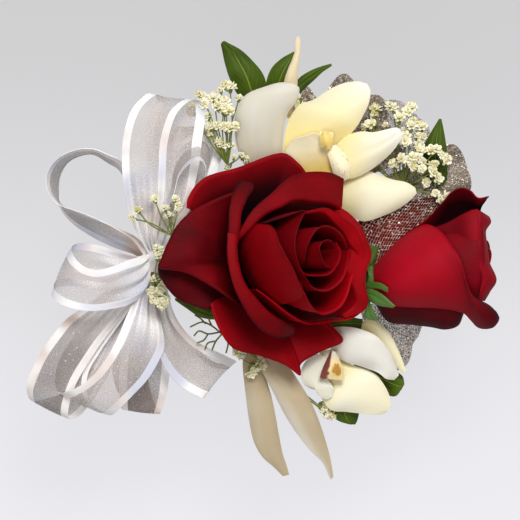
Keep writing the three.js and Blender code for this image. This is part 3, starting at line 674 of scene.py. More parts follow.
def thick_sheet(grid: Array, thickness: float) -> Patch:
    """Closes a grid of points into a thin sheet.

    Args:
        grid: Points by row and column.
        thickness: From face to face.

    Returns:
        The closed sheet.
    """
    rows, columns = grid.shape[:2]
    normal = unit(np.cross(np.gradient(grid, axis=0), np.gradient(grid, axis=1))) * (thickness / 2)
    points = np.vstack([(grid + normal).reshape(-1, 3), (grid - normal).reshape(-1, 3)])
    under = rows * columns
    top = faces_up(rows, columns)
    index = np.arange(under).reshape(rows, columns)
    rim = np.concatenate([index[:-1, 0], index[-1, :-1], index[:0:-1, -1], index[0, :0:-1]])
    after = np.roll(rim, -1)
    wall = np.stack([rim + under, after + under, after, rim], axis=-1)
    faces = np.vstack([top, top[:, ::-1] + under, wall])
    return Patch(points, faces.tolist(), np.tile(grid_places(rows, columns), (2, 1)))


def tube(points: Array, radii: float | Array, sides: int = 8) -> Patch:
    """A round stem along points, closed at both ends.

    Args:
        points: The middle line.
        radii: One radius, or one for each point.
        sides: Sides of the round.

    Returns:
        The closed stem.
    """
    ahead = unit(np.gradient(points, axis=0))
    aside = np.zeros_like(points)
    start = np.eye(3)[np.argmin(np.abs(ahead[0]))]
    for i, direction in enumerate(ahead):
        start = unit(start - direction * (start @ direction))
        aside[i] = start
    other = np.cross(ahead, aside)
    angle = around(sides)[:, None]
    ring = aside[:, None] * np.cos(angle) + other[:, None] * np.sin(angle)
    width = np.broadcast_to(np.asarray(radii, float), len(points))
    return ringed(points[:, None] + ring * width[:, None, None])


def ringed(rings: Array) -> Patch:
    """Skins rings of points, and closes the first and the last.

    Args:
        rings: Points by ring and place round the ring, anticlockwise seen from the last ring.

    Returns:
        The closed skin.
    """
    count, sides = rings.shape[:2]
    index = np.arange(count * sides).reshape(count, sides)
    turned = np.roll(index, -1, axis=1)
    walls = np.stack([index[:-1], turned[:-1], turned[1:], index[1:]], axis=-1).reshape(-1, 4)
    faces = walls.tolist() + [index[0, ::-1].tolist(), index[-1].tolist()]
    return Patch(rings.reshape(-1, 3), faces, grid_places(count, sides))


def on_grid(grid: Array, u: Array, v: Array) -> Array:
    """Points between those of a grid.

    Args:
        grid: Points by row and column.
        u: Places over the rows, from 0 to 1.
        v: Places over the columns, from 0 to 1.

    Returns:
        A point for each place.
    """
    row, column = u * (grid.shape[0] - 1), v * (grid.shape[1] - 1)
    low_row = np.clip(row.astype(int), 0, grid.shape[0] - 2)
    low_column = np.clip(column.astype(int), 0, grid.shape[1] - 2)
    a, b = (row - low_row)[:, None], (column - low_column)[:, None]
    near = grid[low_row, low_column] * (1 - b) + grid[low_row, low_column + 1] * b
    far = grid[low_row + 1, low_column] * (1 - b) + grid[low_row + 1, low_column + 1] * b
    return near * (1 - a) + far * a


def link(name: str, data: bpy.types.ID) -> Piece:
    """Puts a mesh, lamp or camera into the scene."""
    made = bpy.data.objects.new(name, data)
    bpy.context.scene.collection.objects.link(made)
    return made


def make_object(name: str, patch: Patch, finish: Finish, smooth_below: float = 50.0) -> Piece:
    """Makes a mesh object in the part's frame.

    Args:
        name: The object's name.
        patch: Its shape, in millimetres.
        finish: Its material.
        smooth_below: Edges that turn less than this many degrees are shaded smooth.

    Returns:
        The object.
    """
    mesh = bpy.data.meshes.new(name)
    mesh.from_pydata((patch.points * MM).tolist(), [], patch.faces)
    corners = np.zeros(len(mesh.loops), np.int32)
    mesh.loops.foreach_get("vertex_index", corners)
    mesh.uv_layers.new(name="UVMap").data.foreach_set("uv", patch.places[corners].ravel())
    for mark, values in patch.marks.items():
        mesh.attributes.new(mark, "FLOAT", "POINT").data.foreach_set("value", values.astype(np.float32))
    mesh.polygons.foreach_set("use_smooth", np.ones(len(mesh.polygons), bool))
    mesh.set_sharp_from_angle(angle=math.radians(smooth_below))
    mesh.materials.append(finish.material())
    return link(name, mesh)


def wires_object(name: str, points: Array, edges: Sequence[tuple[int, int]] = ()) -> Piece:
    """Loose points or wires, in millimetres, that a recipe starts from."""
    mesh = bpy.data.meshes.new(name)
    mesh.from_pydata((points * MM).tolist(), list(edges), [])
    return link(name, mesh)


def settle(piece: Piece, slot: Slot, *nodes: str) -> Piece:
    """Lets a piece ride on the spray, in place of the solids it stands for.

    Args:
        piece: The finished piece.
        slot: Not used.
        nodes: The solids it replaces.

    Returns:
        The piece.
    """
    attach(piece, BODY)
    if nodes:
        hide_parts(*nodes)
    LOG.info("%s: %d faces", piece.name, len(piece.data.polygons))
    return piece


def dress(node: str, patch: Patch, finish: Finish, slot: Slot, smooth_below: float = 50.0) -> Piece:
    """Makes the piece that stands for one solid, and settles it."""
    return settle(make_object(f"dressed_{node}", patch, finish, smooth_below), slot, node)


# Geometry Nodes


class Recipe(Graph):
    """A Geometry Nodes tree with named sizes, run once on an object and kept as a plain mesh."""

    def __init__(self, name: str) -> None:
        """Starts an empty tree that takes and gives geometry."""
        super().__init__(bpy.data.node_groups.new(name, "GeometryNodeTree"))
        for way in ("INPUT", "OUTPUT"):
            self.tree.interface.new_socket("Geometry", in_out=way, socket_type="NodeSocketGeometry")
        self.source = self.tree.nodes.new("NodeGroupInput")
        self.values: Values = {}

    def geometry(self) -> Wire:
        """The geometry that the tree starts from."""
        return Wire(self, self.source.outputs["Geometry"])

    def size(self, name: str, value: Any, kind: str = "NodeSocketFloat") -> Wire:
        """Adds a named input.

        Args:
            name: Its name.
            value: Its value for this run.
            kind: The type of its socket.

        Returns:
            The input, for the nodes that use it.
        """
        socket = self.tree.interface.new_socket(name, in_out="INPUT", socket_type=kind)
        self.values[socket.identifier] = value
        return Wire(self, self.source.outputs[name])

    def set_out(self, points: Wire, shape: Wire, **sockets: Any) -> Wire:
        """Sets a shape out on points, with their Rotation and Scale."""
        inputs = {"Points": points, "Instance": shape, **sockets}
        return self.node("GeometryNodeInstanceOnPoints", None, inputs)

    def run(self, base: Piece, result: Wire, finish: Finish) -> Piece:
        """Ends the tree, runs it on an object and keeps the result as that object's mesh.

        Args:
            base: The object that the tree starts from.
            result: The geometry that the tree ends with.
            finish: The material of the result.

        Returns:
            The object, with a plain mesh and no modifier.
        """
        whole = self.node("GeometryNodeRealizeInstances", None, {"Geometry": result})
        sockets = {"Geometry": whole, "Material": finish.material()}
        dressed = self.node("GeometryNodeSetMaterial", None, sockets)
        end = self.tree.nodes.new("NodeGroupOutput")
        self.feed(end.inputs["Geometry"], dressed)
        modifier = base.modifiers.new(self.tree.name, "NODES")
        modifier.node_group = self.tree
        for identifier, value in self.values.items():
            modifier[identifier] = value
        settled = bpy.context.evaluated_depsgraph_get()
        mesh = bpy.data.meshes.new_from_object(
            base.evaluated_get(settled), preserve_all_data_layers=True, depsgraph=settled
        )
        base.modifiers.remove(modifier)
        base.data = mesh
        return base


# The photo's view


@dataclass(frozen=True)
class PhotoView:
    """The photo's pixels laid on the part, which it shows from straight above the wrist."""

    mm_per_pixel: float = 0.29
    middle_pixel: float = 260.0
    middle_x: float = -0.58
    middle_y: float = -0.58
    distance: float = 1000.0  # from the camera to the plane where the scale holds
    plane_height: float = 20.0

    def place(self, column: Array, row: Array, height: Array) -> Array:
        """The places that pixels show.

        Args:
            column: Pixels from the left.
            row: Pixels from the top.
            height: Heights of the places above the wrist.

        Returns:
            Places in the part's frame.
        """
        scale = self.mm_per_pixel * (1 - (height - self.plane_height) / self.distance)
        x = self.middle_x + (column - self.middle_pixel) * scale
        y = self.middle_y + (self.middle_pixel - row) * scale
        return np.stack([x, y, height], axis=-1)


VIEW = PhotoView()


@dataclass(frozen=True)
class FlowerAxis:
    """A flower's own frame: its foot, how far its axis leans and towards where."""

    foot: Point
    tilt: float
    bearing: float

    def axes(self) -> Array:
        """The frame's two cross directions and its axis, one in a row."""
        lean, turn = math.radians(self.tilt), math.radians(self.bearing)
        ahead = (math.cos(lean) * math.cos(turn), math.cos(lean) * math.sin(turn), -math.sin(lean))
        aside = (-math.sin(turn), math.cos(turn), 0.0)
        axis = (math.sin(lean) * math.cos(turn), math.sin(lean) * math.sin(turn), math.cos(lean))
        return np.array([ahead, aside, axis])

    def seen(self, column: Array, row: Array, height: Array) -> Array:
        """The places that pixels show at heights along the flower's axis.

        Args:
            column: Pixels from the left.
            row: Pixels from the top.
            height: Heights above the flower's foot along its axis.

        Returns:
            Places in the part's frame.
        """
        axis = self.axes()[2]
        foot = np.array(self.foot)
        level = np.full(len(column), foot[2])
        for _ in range(6):
            place = VIEW.place(column, row, level)
            level = foot[2] + (height - (place[:, :2] - foot[:2]) @ axis[:2]) / axis[2]
        return VIEW.place(column, row, level)

    def inside(self, places: Array) -> Array:
        """Places in the flower's own frame."""
        return (places - np.array(self.foot)) @ self.axes().T

    def outside(self, places: Array) -> Array:
        """Places of the flower's own frame in the part's frame."""
        return places @ self.axes() + np.array(self.foot)

    def round(self, radius: Array, angle: Array, height: Array) -> Array:
        """Places at a radius and an angle round the axis."""
        return self.outside(np.stack([radius * np.cos(angle), radius * np.sin(angle), height], axis=-1))


@dataclass(frozen=True)
class RimPetal:
    """A petal that grows from a flower's foot to a rim that the photo shows.

    A point of the rim is a photo column, a photo row, the height along the flower's axis and the width of
    the flap beyond the rim's fold.
    """

    name: str
    rim: Rows
    foot: float
    fan: float  # share of the rim's angle that the foot takes
    belly: float
    swell: float
    # share of the bright red: painted light and shade of the petal, partly its own depth of red
    tone: float
    foot_height: float = 0.0
    dome: float = 0.0
    roll: float = 50.0
    roll_radius: float = 0.8
    flap_shift: Point = (0.0, 0.0, 0.0)  # how far the flap's last corner swings aside
    wave: float = 0.45
    last_tone: float | None = None  # the tone at the rim's other end, where it differs, so that painted light and shade change along the rim
    hollow: float = 0.45  # how far up the petal its painted foot shade reaches

    def grid(self, axis: FlowerAxis, rows: int = 26, columns: int = 48, turns: int = 9) -> Array:
        """Works out the petal's surface.

        Args:
            axis: The flower's frame.
            rows: Rows from the foot to the rim.
            columns: Points across.
            turns: Rows over the fold and its flap.

        Returns:
            Points by row and column.
        """
        rim = curve(self.rim, columns)
        local = axis.inside(axis.seen(*rim.T[:3]))
        radius = np.hypot(local[:, 0], local[:, 1])
        angle = np.unwrap(np.arctan2(local[:, 1], local[:, 0]))
        middle = angle[columns // 2]
        foot_angle = middle + (angle - middle) * self.fan
        foot_radius = np.minimum(self.foot, radius * 0.7)
        u = np.linspace(0, 1, rows)[:, None]
        out = u + self.belly * (np.sin(u * math.pi / 2) - u)
        rise = u + self.belly * (1 - np.cos(u * math.pi / 2) - u)
        turn = smooth_step(u, 0.0, 0.8)
        reach = foot_radius + (radius - foot_radius) * out + self.swell * np.sin(math.pi * u)
        height = self.foot_height + (local[:, 2] - self.foot_height) * rise
        v = np.linspace(-1, 1, columns)
        height = height + self.dome * np.sin(math.pi * u) * (1 - v**2)
        surface = axis.round(reach, foot_angle + (angle - foot_angle) * turn, height)
        away = self.away(axis, surface[-1] - surface[-2], angle)
        ripple = self.wave * np.sin(v * 7.3 + len(self.name)) * np.sin(v * 2.1 + self.rim[0][0])
        surface = surface + away * (u**3 * ripple)[..., None]
        ahead = unit(surface[-1] - surface[-2])
        away = self.away(axis, ahead, angle)
        last = math.radians(self.roll)
        fold = np.linspace(0, last, turns)[1:, None, None]
        arc = self.roll_radius * (np.sin(fold) * ahead + (1 - np.cos(fold)) * away)
        flap_way = math.cos(last) * ahead + math.sin(last) * away
        swing = ((v[:, None] + 1) / 2) ** 2 * np.array(self.flap_shift)
        flap = np.linspace(0, 1, turns)[1:, None, None] * (rim[:, 3][:, None] * flap_way + swing)
        crest = surface[-1] + arc
        whole = np.concatenate([surface, crest, crest[-1] + flap])
        if self.roll > 90:
            return whole
        share = np.minimum(np.arange(len(whole)) / (rows - 1), 1.0) ** 2
        return whole - (whole[-1] - surface[-1]) * share[:, None, None]

    @staticmethod
    def away(axis: FlowerAxis, ahead: Array, angle: Array) -> Array:
        """The way in which a rim folds: outwards where the petal stands, down where it lies.

        Args:
            axis: The flower's frame.
            ahead: The way on from the foot at each point of the rim.
            angle: The angle round the axis at each of them.

        Returns:
            Directions of length 1, square to the way on.
        """
        even = np.ones_like(angle)
        outward = axis.round(even, angle, -even) - np.array(axis.foot)
        forward = unit(ahead)
        return unit(outward - forward * np.sum(outward * forward, axis=-1, keepdims=True))

    def patch(self, axis: FlowerAxis, thickness: float) -> Patch:
        """The closed petal, marked with its tone and with how far up its painted foot shade reaches."""
        petal = thick_sheet(self.grid(axis), thickness).mark("hollow", self.hollow)
        last = self.tone if self.last_tone is None else self.last_tone
        return petal.mark("tone", self.tone + (last - self.tone) * petal.places[:, 0])


@dataclass(frozen=True)
class Ribbed:
    """A surface spanned by ribs between two edges that the photo shows.

    A rib is the photo column and row of one edge, those of the other edge, and the heights of both above
    the wrist.
    """

    name: str
    ribs: Rows

    def edges(self, count: int) -> tuple[Array, Array]:
        """The places of the one edge and of the other, at so many ribs."""
        line = curve(self.ribs, count).T
        return VIEW.place(*line[[0, 1, 4]]), VIEW.place(*line[[2, 3, 5]])


@dataclass(frozen=True)
class RibSheet(Ribbed):
    """A petal or leaf, whose ribs also say how far the middle stands above its edges."""

    thickness: float = 0.4
    arch: float = 48.0  # half the angle that the cross-section turns through
    keel: float = 0.0  # depth of a crease along the middle
    keel_width: float = 0.22  # in half widths
    wave: float = 0.0
    tone: float = 0.5
    last_tone: float | None = None  # the tone at the last rib, where it differs
    fade: float = 0.6  # where the tone starts to change
    painted_edge_light: float = 0.0  # painted light: how much brighter its first edge is

    def patch(self, rows: int = 44, columns: int = 25) -> Patch:
        """Works out the closed sheet.

        Args:
            rows: Points along.
            columns: Points across.

        Returns:
            The sheet, marked with its tone.
        """
        first, second = (edge[:, None] for edge in self.edges(rows))
        v = np.linspace(-1, 1, columns)
        bend = math.radians(self.arch)
        share = ((1 + np.sin(v * bend) / math.sin(bend)) / 2)[None, :, None]
        crown = (np.cos(v * bend) - math.cos(bend)) / (1 - math.cos(bend))
        u = np.linspace(0, 1, rows)[:, None]
        belly = np.sin(math.pi * u)
        crease = self.keel * np.exp(-((v / self.keel_width) ** 2)) * belly
        lift = curve(self.ribs, rows)[:, 6:] * crown - crease
        lift = lift + self.wave * np.sin(u * 9 + v * 2 + len(self.name)) * np.abs(v) ** 2 * belly
        grid = first + (second - first) * share
        grid[..., 2] += lift
        sheet = thick_sheet(grid, self.thickness).mark("hollow", 0.0)
        last = self.tone if self.last_tone is None else self.last_tone
        across, along = sheet.places.T
        lit = self.painted_edge_light * smooth_step(across, 0.6, 0.0)
        return sheet.mark("tone", self.tone + (last - self.tone) * smooth_step(along, self.fade, 1.0) + lit)


# Roses


@dataclass(frozen=True)
class Calyx:
    """The hip under a rose, its sepals and the stem down to the bundle."""

    axis: FlowerAxis
    radius: float
    height: float
    sepal_line: Rows  # radius and height pairs along a sepal
    stem_foot: float
    finish: StreakedFinish
    sepal_count: int = 5
    sepal_half: float = 2.4
    sepal_cup: float = 9.0  # radius of its cross-section
    sepal_widest: float = 0.3  # share of its length
    sepal_thickness: float = 0.5
    stem_radius: float = 1.3

    def hip(self) -> Patch:
        """The ridged hip, narrower towards its stem."""
        u = np.linspace(0, 1, 14)[:, None]
        angle = around(28)
        ridge = 1 + 0.04 * np.cos(self.sepal_count * angle)
        reach = self.radius * (0.42 + 0.58 * np.sin(u * math.pi / 2) ** 0.8) * ridge
        return ringed(self.axis.round(reach, angle + 0 * u, (u - 1) * self.height + 0 * angle))

    def sepal(self, turn: float, rows: int = 18, finer: int = 12) -> Patch:
        """One pointed sepal, cupped across its middle line.

        Args:
            turn: Its angle round the axis.
            rows: Rows along it.
            finer: How much finer its middle line is sampled than its rows.

        Returns:
            The closed sepal.
        """
        radius, height = np.array(self.sepal_line, float).T
        fine = curve(self.axis.round(radius, turn, height), (rows - 1) * finer + 1)
        ahead = unit(np.gradient(fine, axis=0))[::finer]
        reach = fine[-1] - fine[0]
        level = unit(np.array([-reach[1], reach[0], 0.0]))
        aside = unit(level - ahead * (ahead @ level)[:, None])
        u = np.linspace(0, 1, rows)[:, None]
        swelling = 0.8 + 0.2 * np.sin(np.minimum(u / self.sepal_widest, 1) * math.pi / 2)
        past = np.maximum((u - self.sepal_widest) / (1 - self.sepal_widest), 0)
        closing = 0.1 + 0.9 * np.cos(past * math.pi / 2)
        width = self.sepal_half * np.where(u < self.sepal_widest, swelling, closing)
        bend = (np.linspace(-1, 1, 9) * width / self.sepal_cup)[..., None]
        across = aside[:, None] * np.sin(bend) + np.cross(ahead, aside)[:, None] * (1 - np.cos(bend))
        return thick_sheet(fine[::finer][:, None] + self.sepal_cup * across, self.sepal_thickness)

    def patch(self) -> Patch:
        """The hip, its sepals and the stem."""
        turns = (math.radians(360 * (i + 0.5) / self.sepal_count) for i in range(self.sepal_count))
        under = self.axis.outside(np.array([[0, 0, -self.height / 2], [0, 0, -self.height - 1.3]]))
        path = np.vstack([under, [[self.stem_foot, 0, SPRAY_HEIGHT]]])
        stem = tube(curve(path, 16), self.stem_radius, 10)
        return join([self.hip(), *(self.sepal(turn) for turn in turns), stem])


# Each petal's tone, and its last tone where it changes along the rim, paints how lit or shaded the petal
# looks, partly its own depth of red.
RIM_PETALS = (
    RimPetal("inner_left", (
        (250, 233, 17, 0.3), (262, 224, 21, 0.3), (271, 226, 29, 0.4), (279, 241, 33, 0.4),
        (290, 263, 34.5, 0.4), (300, 285, 33, 0.4), (306, 298, 30, 0.3),
    ), foot=4, fan=0.8, belly=0.85, swell=3.0, roll=30, tone=0.36, last_tone=0.5),
    RimPetal("inner_upper", (
        (304, 211, 31, 0.3), (318, 208.5, 33, 0.6), (331, 211, 33.5, 1.4), (346, 218, 32.5, 2.6),
        (357, 230, 31, 3.2), (363, 244, 29.5, 2.8), (364, 258, 27, 1.0),
    ), foot=4, fan=0.8, belly=0.85, swell=1.6, roll=62, tone=0.5, last_tone=0.66),
    RimPetal("inner_lower", (
        (301, 276, 28, 0.3), (303, 290, 31, 0.4), (310, 306, 31, 0.5), (323, 314, 30.5, 0.5),
        (337, 310, 31, 0.5), (348, 295, 31.5, 0.4), (355, 274, 30, 0.3),
    ), foot=4, fan=0.8, belly=0.6, swell=0.4, roll=45, tone=0.34, last_tone=0.7, hollow=0.5),
    RimPetal("middle_right", (
        (338, 206, 22, 0.6), (350, 214, 24.5, 2.2), (361, 225, 26, 3.8), (367, 240, 27, 5.2),
        (370.5, 255, 27, 5.8), (367, 270, 26.5, 5.4), (366, 286, 26, 5.0), (368.5, 301, 25, 4.2),
        (364, 311, 23, 2.6), (345, 318, 21, 0.6),
    ), foot=7, fan=0.8, belly=0.4, swell=0.4, roll=70, tone=0.5, hollow=0.6),
    RimPetal("middle_upper", (
        (235, 242, 17, 0.3), (256, 224, 21, 2.0), (274, 210, 22, 3), (291, 201.5, 23, 4.6),
        (309, 202, 23.5, 6.8), (325, 205, 23.5, 7.9), (338.5, 209, 22.5, 8.4),
    ), foot=6, fan=0.75, belly=0.8, swell=0.6, roll=100, roll_radius=0.9, flap_shift=(-3.2, 2.2, 0.0),
        tone=0.3),
    RimPetal("middle_left", (
        (238, 243, 19.5, 1.6), (239, 228, 20.5, 2.2), (241, 214, 21, 2.6), (246, 200, 20.5, 3.6),
        (253, 187.5, 19, 4.6),
    ), foot=6, fan=0.8, belly=0.75, swell=0.4, roll=112, roll_radius=1.1, flap_shift=(-0.4, -2.4, 0.0),
        wave=0.1, tone=0.24, last_tone=0.1),
    RimPetal("middle_low_left", (
        (237, 236, 20, 1.6), (237.5, 258, 20, 1.7), (245, 284, 19.5, 2.2), (257, 300, 19, 3.4),
        (272, 314, 18, 4.2), (284, 322, 17, 3.4), (292, 326, 15, 0.6),
    ), foot=6, fan=0.8, belly=0.75, swell=0.4, roll=112, roll_radius=1.2, wave=0.15, tone=0.42,
        last_tone=0.1),
    RimPetal("middle_lower", (
        (255, 291, 16, 0.4), (275, 303, 18.5, 0.5), (292, 317, 19.5, 0.6), (308, 324, 20, 0.6),
        (330, 323, 20.5, 0.5), (350, 318, 21, 0.4), (364, 311, 21, 0.3),
    ), foot=6, fan=0.75, belly=0.7, swell=0.8, roll=45, tone=0.6, last_tone=0.8, hollow=0.6),
    RimPetal("outer_upper", (
        (186, 208, 2, 0.3), (187, 200, 3, 0.4), (203, 179, 5.5, 0.5), (240, 167, 7.5, 0.5),
        (276, 154, 8, 0.5), (285, 153.5, 8.5, 0.4), (299, 164, 10.5, 0.4), (309, 177, 11, 0.3),
    ), foot=8, fan=0.7, belly=0.15, swell=1.5, dome=2.0, roll=70, tone=0.44, hollow=0.76),
    RimPetal("outer_left", (
        (238, 190, 11, 0.3), (214, 200, 9.5, 0.3), (191, 212, 7.5, 0.4), (177, 226, 6, 0.5),
        (167, 245, 4.5, 0.6), (161.5, 258, 3.5, 0.6), (158.5, 267, 2.5, 0.4), (184, 272, 5, 0.3),
        (211, 286, 7, 0.3), (243, 311, 9, 0.3),
    ), foot=8, fan=0.9, belly=0.2, swell=0.5, dome=6.0, roll=60, tone=0.16, hollow=0.4),
    RimPetal("outer_low_left", (
        (164, 258, -1, 0.3), (158, 268, -1.5, 0.4), (164, 283, -2, 0.5), (178, 299, -2, 0.6),
        (198, 307, -1, 0.5), (214, 311, 0, 0.4), (236, 318, 2, 0.3),
    ), foot=8, fan=0.8, belly=0.1, swell=1.0, dome=1.0, roll=60, tone=0.04),
    RimPetal("outer_lower", (
        (210, 304, 2, 0.3), (214, 320, 3, 0.4), (232, 347, 4, 0.5), (262, 356, 5, 0.5), (285, 365, 6, 0.4),
        (300, 375.5, 6, 0.1), (300, 365, 7, 0.3), (318, 353, 9, 0.4), (343, 341, 11, 0.1),
        (336, 330, 12, 0.3), (328, 320, 13, 0.3),
    ), foot=8, fan=0.8, belly=0.2, swell=1.2, dome=2.0, roll=45, tone=0.38, hollow=0.48),
)

WRAP_PETAL = RimPetal("inner_wrap", (
    (268, 222, 27, 0.3), (286, 216, 31, 0.3), (305, 210.5, 33.5, 0.4), (300, 222, 34.5, 0.4),
    (296, 236, 35, 0.4), (295, 251, 35, 0.4), (300, 268, 34, 0.4), (309, 282, 31, 0.3),
), foot=4, fan=0.85, belly=0.8, swell=1.0, roll=25, wave=0.1, tone=0.1, last_tone=0.5)

HEART_WHORLS = (
    RimPetal("heart_wide", (
        (300, 272, 27, 0.3), (304, 262, 33, 0.3), (307, 246, 36.5, 0.4), (314, 232, 37.5, 0.4),
        (324, 226, 37.5, 0.4), (335, 228, 37, 0.3), (344, 237, 35, 0.3), (348, 248, 31, 0.3),
    ), foot=5, foot_height=8, fan=0.95, belly=0.5, swell=0.8, roll=40, roll_radius=0.6, wave=0.15,
        tone=0.26, last_tone=0.5),
    RimPetal("heart_low", (
        (350, 250, 29, 0.3), (348, 266, 33, 0.4), (342, 281, 34.5, 0.5), (329, 291, 34.5, 0.5),
        (315, 289, 34, 0.4), (305, 280, 31, 0.4), (300, 270, 26, 0.3),
    ), foot=5, foot_height=8, fan=0.95, belly=0.5, swell=0.6, roll=45, roll_radius=0.6, wave=0.15, tone=0.5,
        last_tone=0.3),
    RimPetal("heart_lip", (
        (296, 262, 30, 0.3), (305, 274, 33.5, 0.3), (319, 276, 35.5, 0.3), (330, 274, 36, 0.3),
        (338, 265, 36.5, 0.3), (341, 253, 36, 0.3), (337, 242, 33, 0.3),
    ), foot=3, foot_height=10, fan=0.95, belly=0.4, swell=0.4, roll=40, roll_radius=0.5, wave=0.1,
        tone=0.42, hollow=0.3),
    RimPetal("heart_core", (
        (338, 256, 31, 0.2), (334, 268, 35, 0.2), (326, 266, 36.5, 0.2), (321, 256, 37, 0.3),
        (320, 246, 37.5, 0.3), (325, 240, 37.5, 0.3), (332, 241, 37, 0.2), (336, 248, 35, 0.2),
    ), foot=2, foot_height=12, fan=0.95, belly=0.3, swell=0.2, roll=35, roll_radius=0.4, wave=0.05,
        tone=0.34),
)

OPEN_AXIS = FlowerAxis((0.0, -1.0, SPRAY_HEIGHT + 12.5), 31.0, 8.0)
OPEN_SEPAL = ((5.5, -2.5), (11, -2.5), (16, -3.5), (20, -6))


@dataclass
class OpenRose:
    """The open rose in the middle, leaning towards the half-open one."""

    axis: FlowerAxis = OPEN_AXIS
    petal_thickness: float = 0.24
    calyx: Calyx = Calyx(OPEN_AXIS, 8.0, 9.0, OPEN_SEPAL, -8.0, StreakedFinish("calyx skin"))
    finish: Finish = RosePetalFinish("open rose petal")

    def petals(self, node: str, *rows: RimPetal) -> None:
        """Makes the piece that stands for one solid from one or more petals."""
        dress(node, join(row.patch(self.axis, self.petal_thickness) for row in rows), self.finish, Slot.ROSE)

    def build(self) -> None:
        """Makes the petals, the rolled heart and the calyx."""
        for row in RIM_PETALS:
            extra = [WRAP_PETAL] if row.name == "inner_upper" else []
            self.petals(f"main_rose_petal_{row.name}", row, *extra)
        self.petals("main_rose_heart", *HEART_WHORLS)
        dress("main_rose_calyx", self.calyx.patch(), self.calyx.finish, Slot.CALYX)


# The tones paint this rose's light and shade: the front petal darkens towards its shaded lobe, the lower and
# upper petals are painted dark as in shade, and the upper petal's first edge is painted lit.
SIDE_PETALS = {
    "front": (
        RibSheet("front", (
            (369, 272, 371, 292, 20, 20, 2), (380, 260, 382, 305, 20, 21, 8),
            (393, 246, 396, 307, 21, 22, 11), (408, 233, 415, 308.5, 22, 22.5, 13),
            (424, 224.5, 435, 309.5, 24, 23, 13), (440, 231, 453, 311, 31, 24, 8.5),
            (452, 246, 464, 313, 35, 25, 5.5), (460, 259, 471, 320, 37, 25, 3.5),
            (465, 279, 478, 327, 36, 25, 3.5), (472, 295, 486, 328.5, 34, 26, 3.5),
            (480, 300.5, 493, 327, 32, 27, 3), (489, 305.5, 497.5, 322, 30, 28, 2),
            (496, 312, 499, 317.5, 29, 28.5, 0.3),
        ), arch=74, tone=0.7, last_tone=0.06, fade=0.22),
    ),
    "lower": (
        RibSheet("lower", (
            (375, 286, 377, 306, 20, 17, 2), (386, 284, 388, 321, 21, 17, 4),
            (405, 284, 409, 324, 22, 17, 5), (425, 286, 430, 326.5, 22, 18, 5),
            (442, 288, 446, 329, 23, 19, 4), (454, 292, 458, 325, 24, 20, 3),
            (461, 300, 463, 314, 25, 22, 1),
        ), arch=70, tone=0.06),
    ),
    "upper": (
        RibSheet("upper", (
            (374, 268, 378, 280, 20, 20, -1), (388, 251, 394, 266, 21, 20, -2),
            (406, 234, 412, 255, 23, 20, -3), (426, 220, 432, 244, 26, 21, -3.5),
            (441, 204.5, 446, 236, 29, 22, -4), (451, 193, 458, 231, 31, 22, -4),
            (461, 188, 467, 226, 32, 22.5, -3.5), (470, 190.5, 474, 221, 32, 23, -2.5),
            (478, 198, 479, 214, 31, 26, -1), (489, 196.5, 481, 206, 31, 29, 0),
        ), arch=60, tone=-0.1, last_tone=0.02, painted_edge_light=0.34),
        RibSheet("back", (
            (364, 264, 370, 290, 17, 17, 0.5), (354, 238, 384, 264, 12.5, 15, 1),
            (366, 212, 404, 246, 10.5, 14, 1), (399, 204, 426, 230, 10.5, 14, 1),
            (426, 198, 442, 214, 11, 14, 0.6), (437, 195, 446, 206, 12, 14, 0.2),
        ), arch=40, tone=0.2),
    ),
    "inner": (
        RibSheet("bud", (
            (405, 245, 408, 292, 22, 21, 9), (425, 231, 430, 300, 23, 22, 10),
            (445, 224, 450, 304, 24, 23, 11), (462, 215, 466, 305, 25, 24, 11),
            (474, 210, 477, 303, 26, 25, 10), (481, 213, 483, 298, 27, 26, 8),
        ), arch=74, tone=0.32),
        RibSheet("right_rim", (
            (476, 209, 489, 217, 30, 27, 1), (478, 217, 490.5, 222, 32, 28, 1.5),
            (477, 231, 485.5, 231, 34, 29, 1.5), (478, 246, 487, 246, 35, 30, 1.5),
            (478, 262, 489, 262, 35, 30, 1.5), (482, 278, 496, 280, 34, 30, 1.5),
            (480, 291, 490, 291, 33, 29, 1), (478, 301, 484.5, 300.5, 31, 28, 0.5),
        ), arch=60, tone=0.4),
        RibSheet("bud_fold", (
            (436, 229, 441, 242, 29, 27, 1), (452, 221, 457, 257, 31, 29, 1.5),
            (466, 213, 467, 257, 33, 32, 2), (477, 210, 475, 248, 33, 34, 1.5),
            (480, 216, 479.5, 235, 32, 34, 1),
        ), arch=60, tone=0.24, last_tone=0.6, fade=0.2),
        RibSheet("under", (
            (372, 268, 373, 290, 19, 19, -2), (388, 254, 390, 304, 19, 18, -7),
            (410, 240, 412, 309, 20, 18, -10), (434, 228, 436, 310, 21, 19, -11),
            (456, 222, 458, 306, 23, 21, -10), (474, 221, 475, 296, 25, 23, -7),
        ), arch=76, tone=0.4),
    ),
}

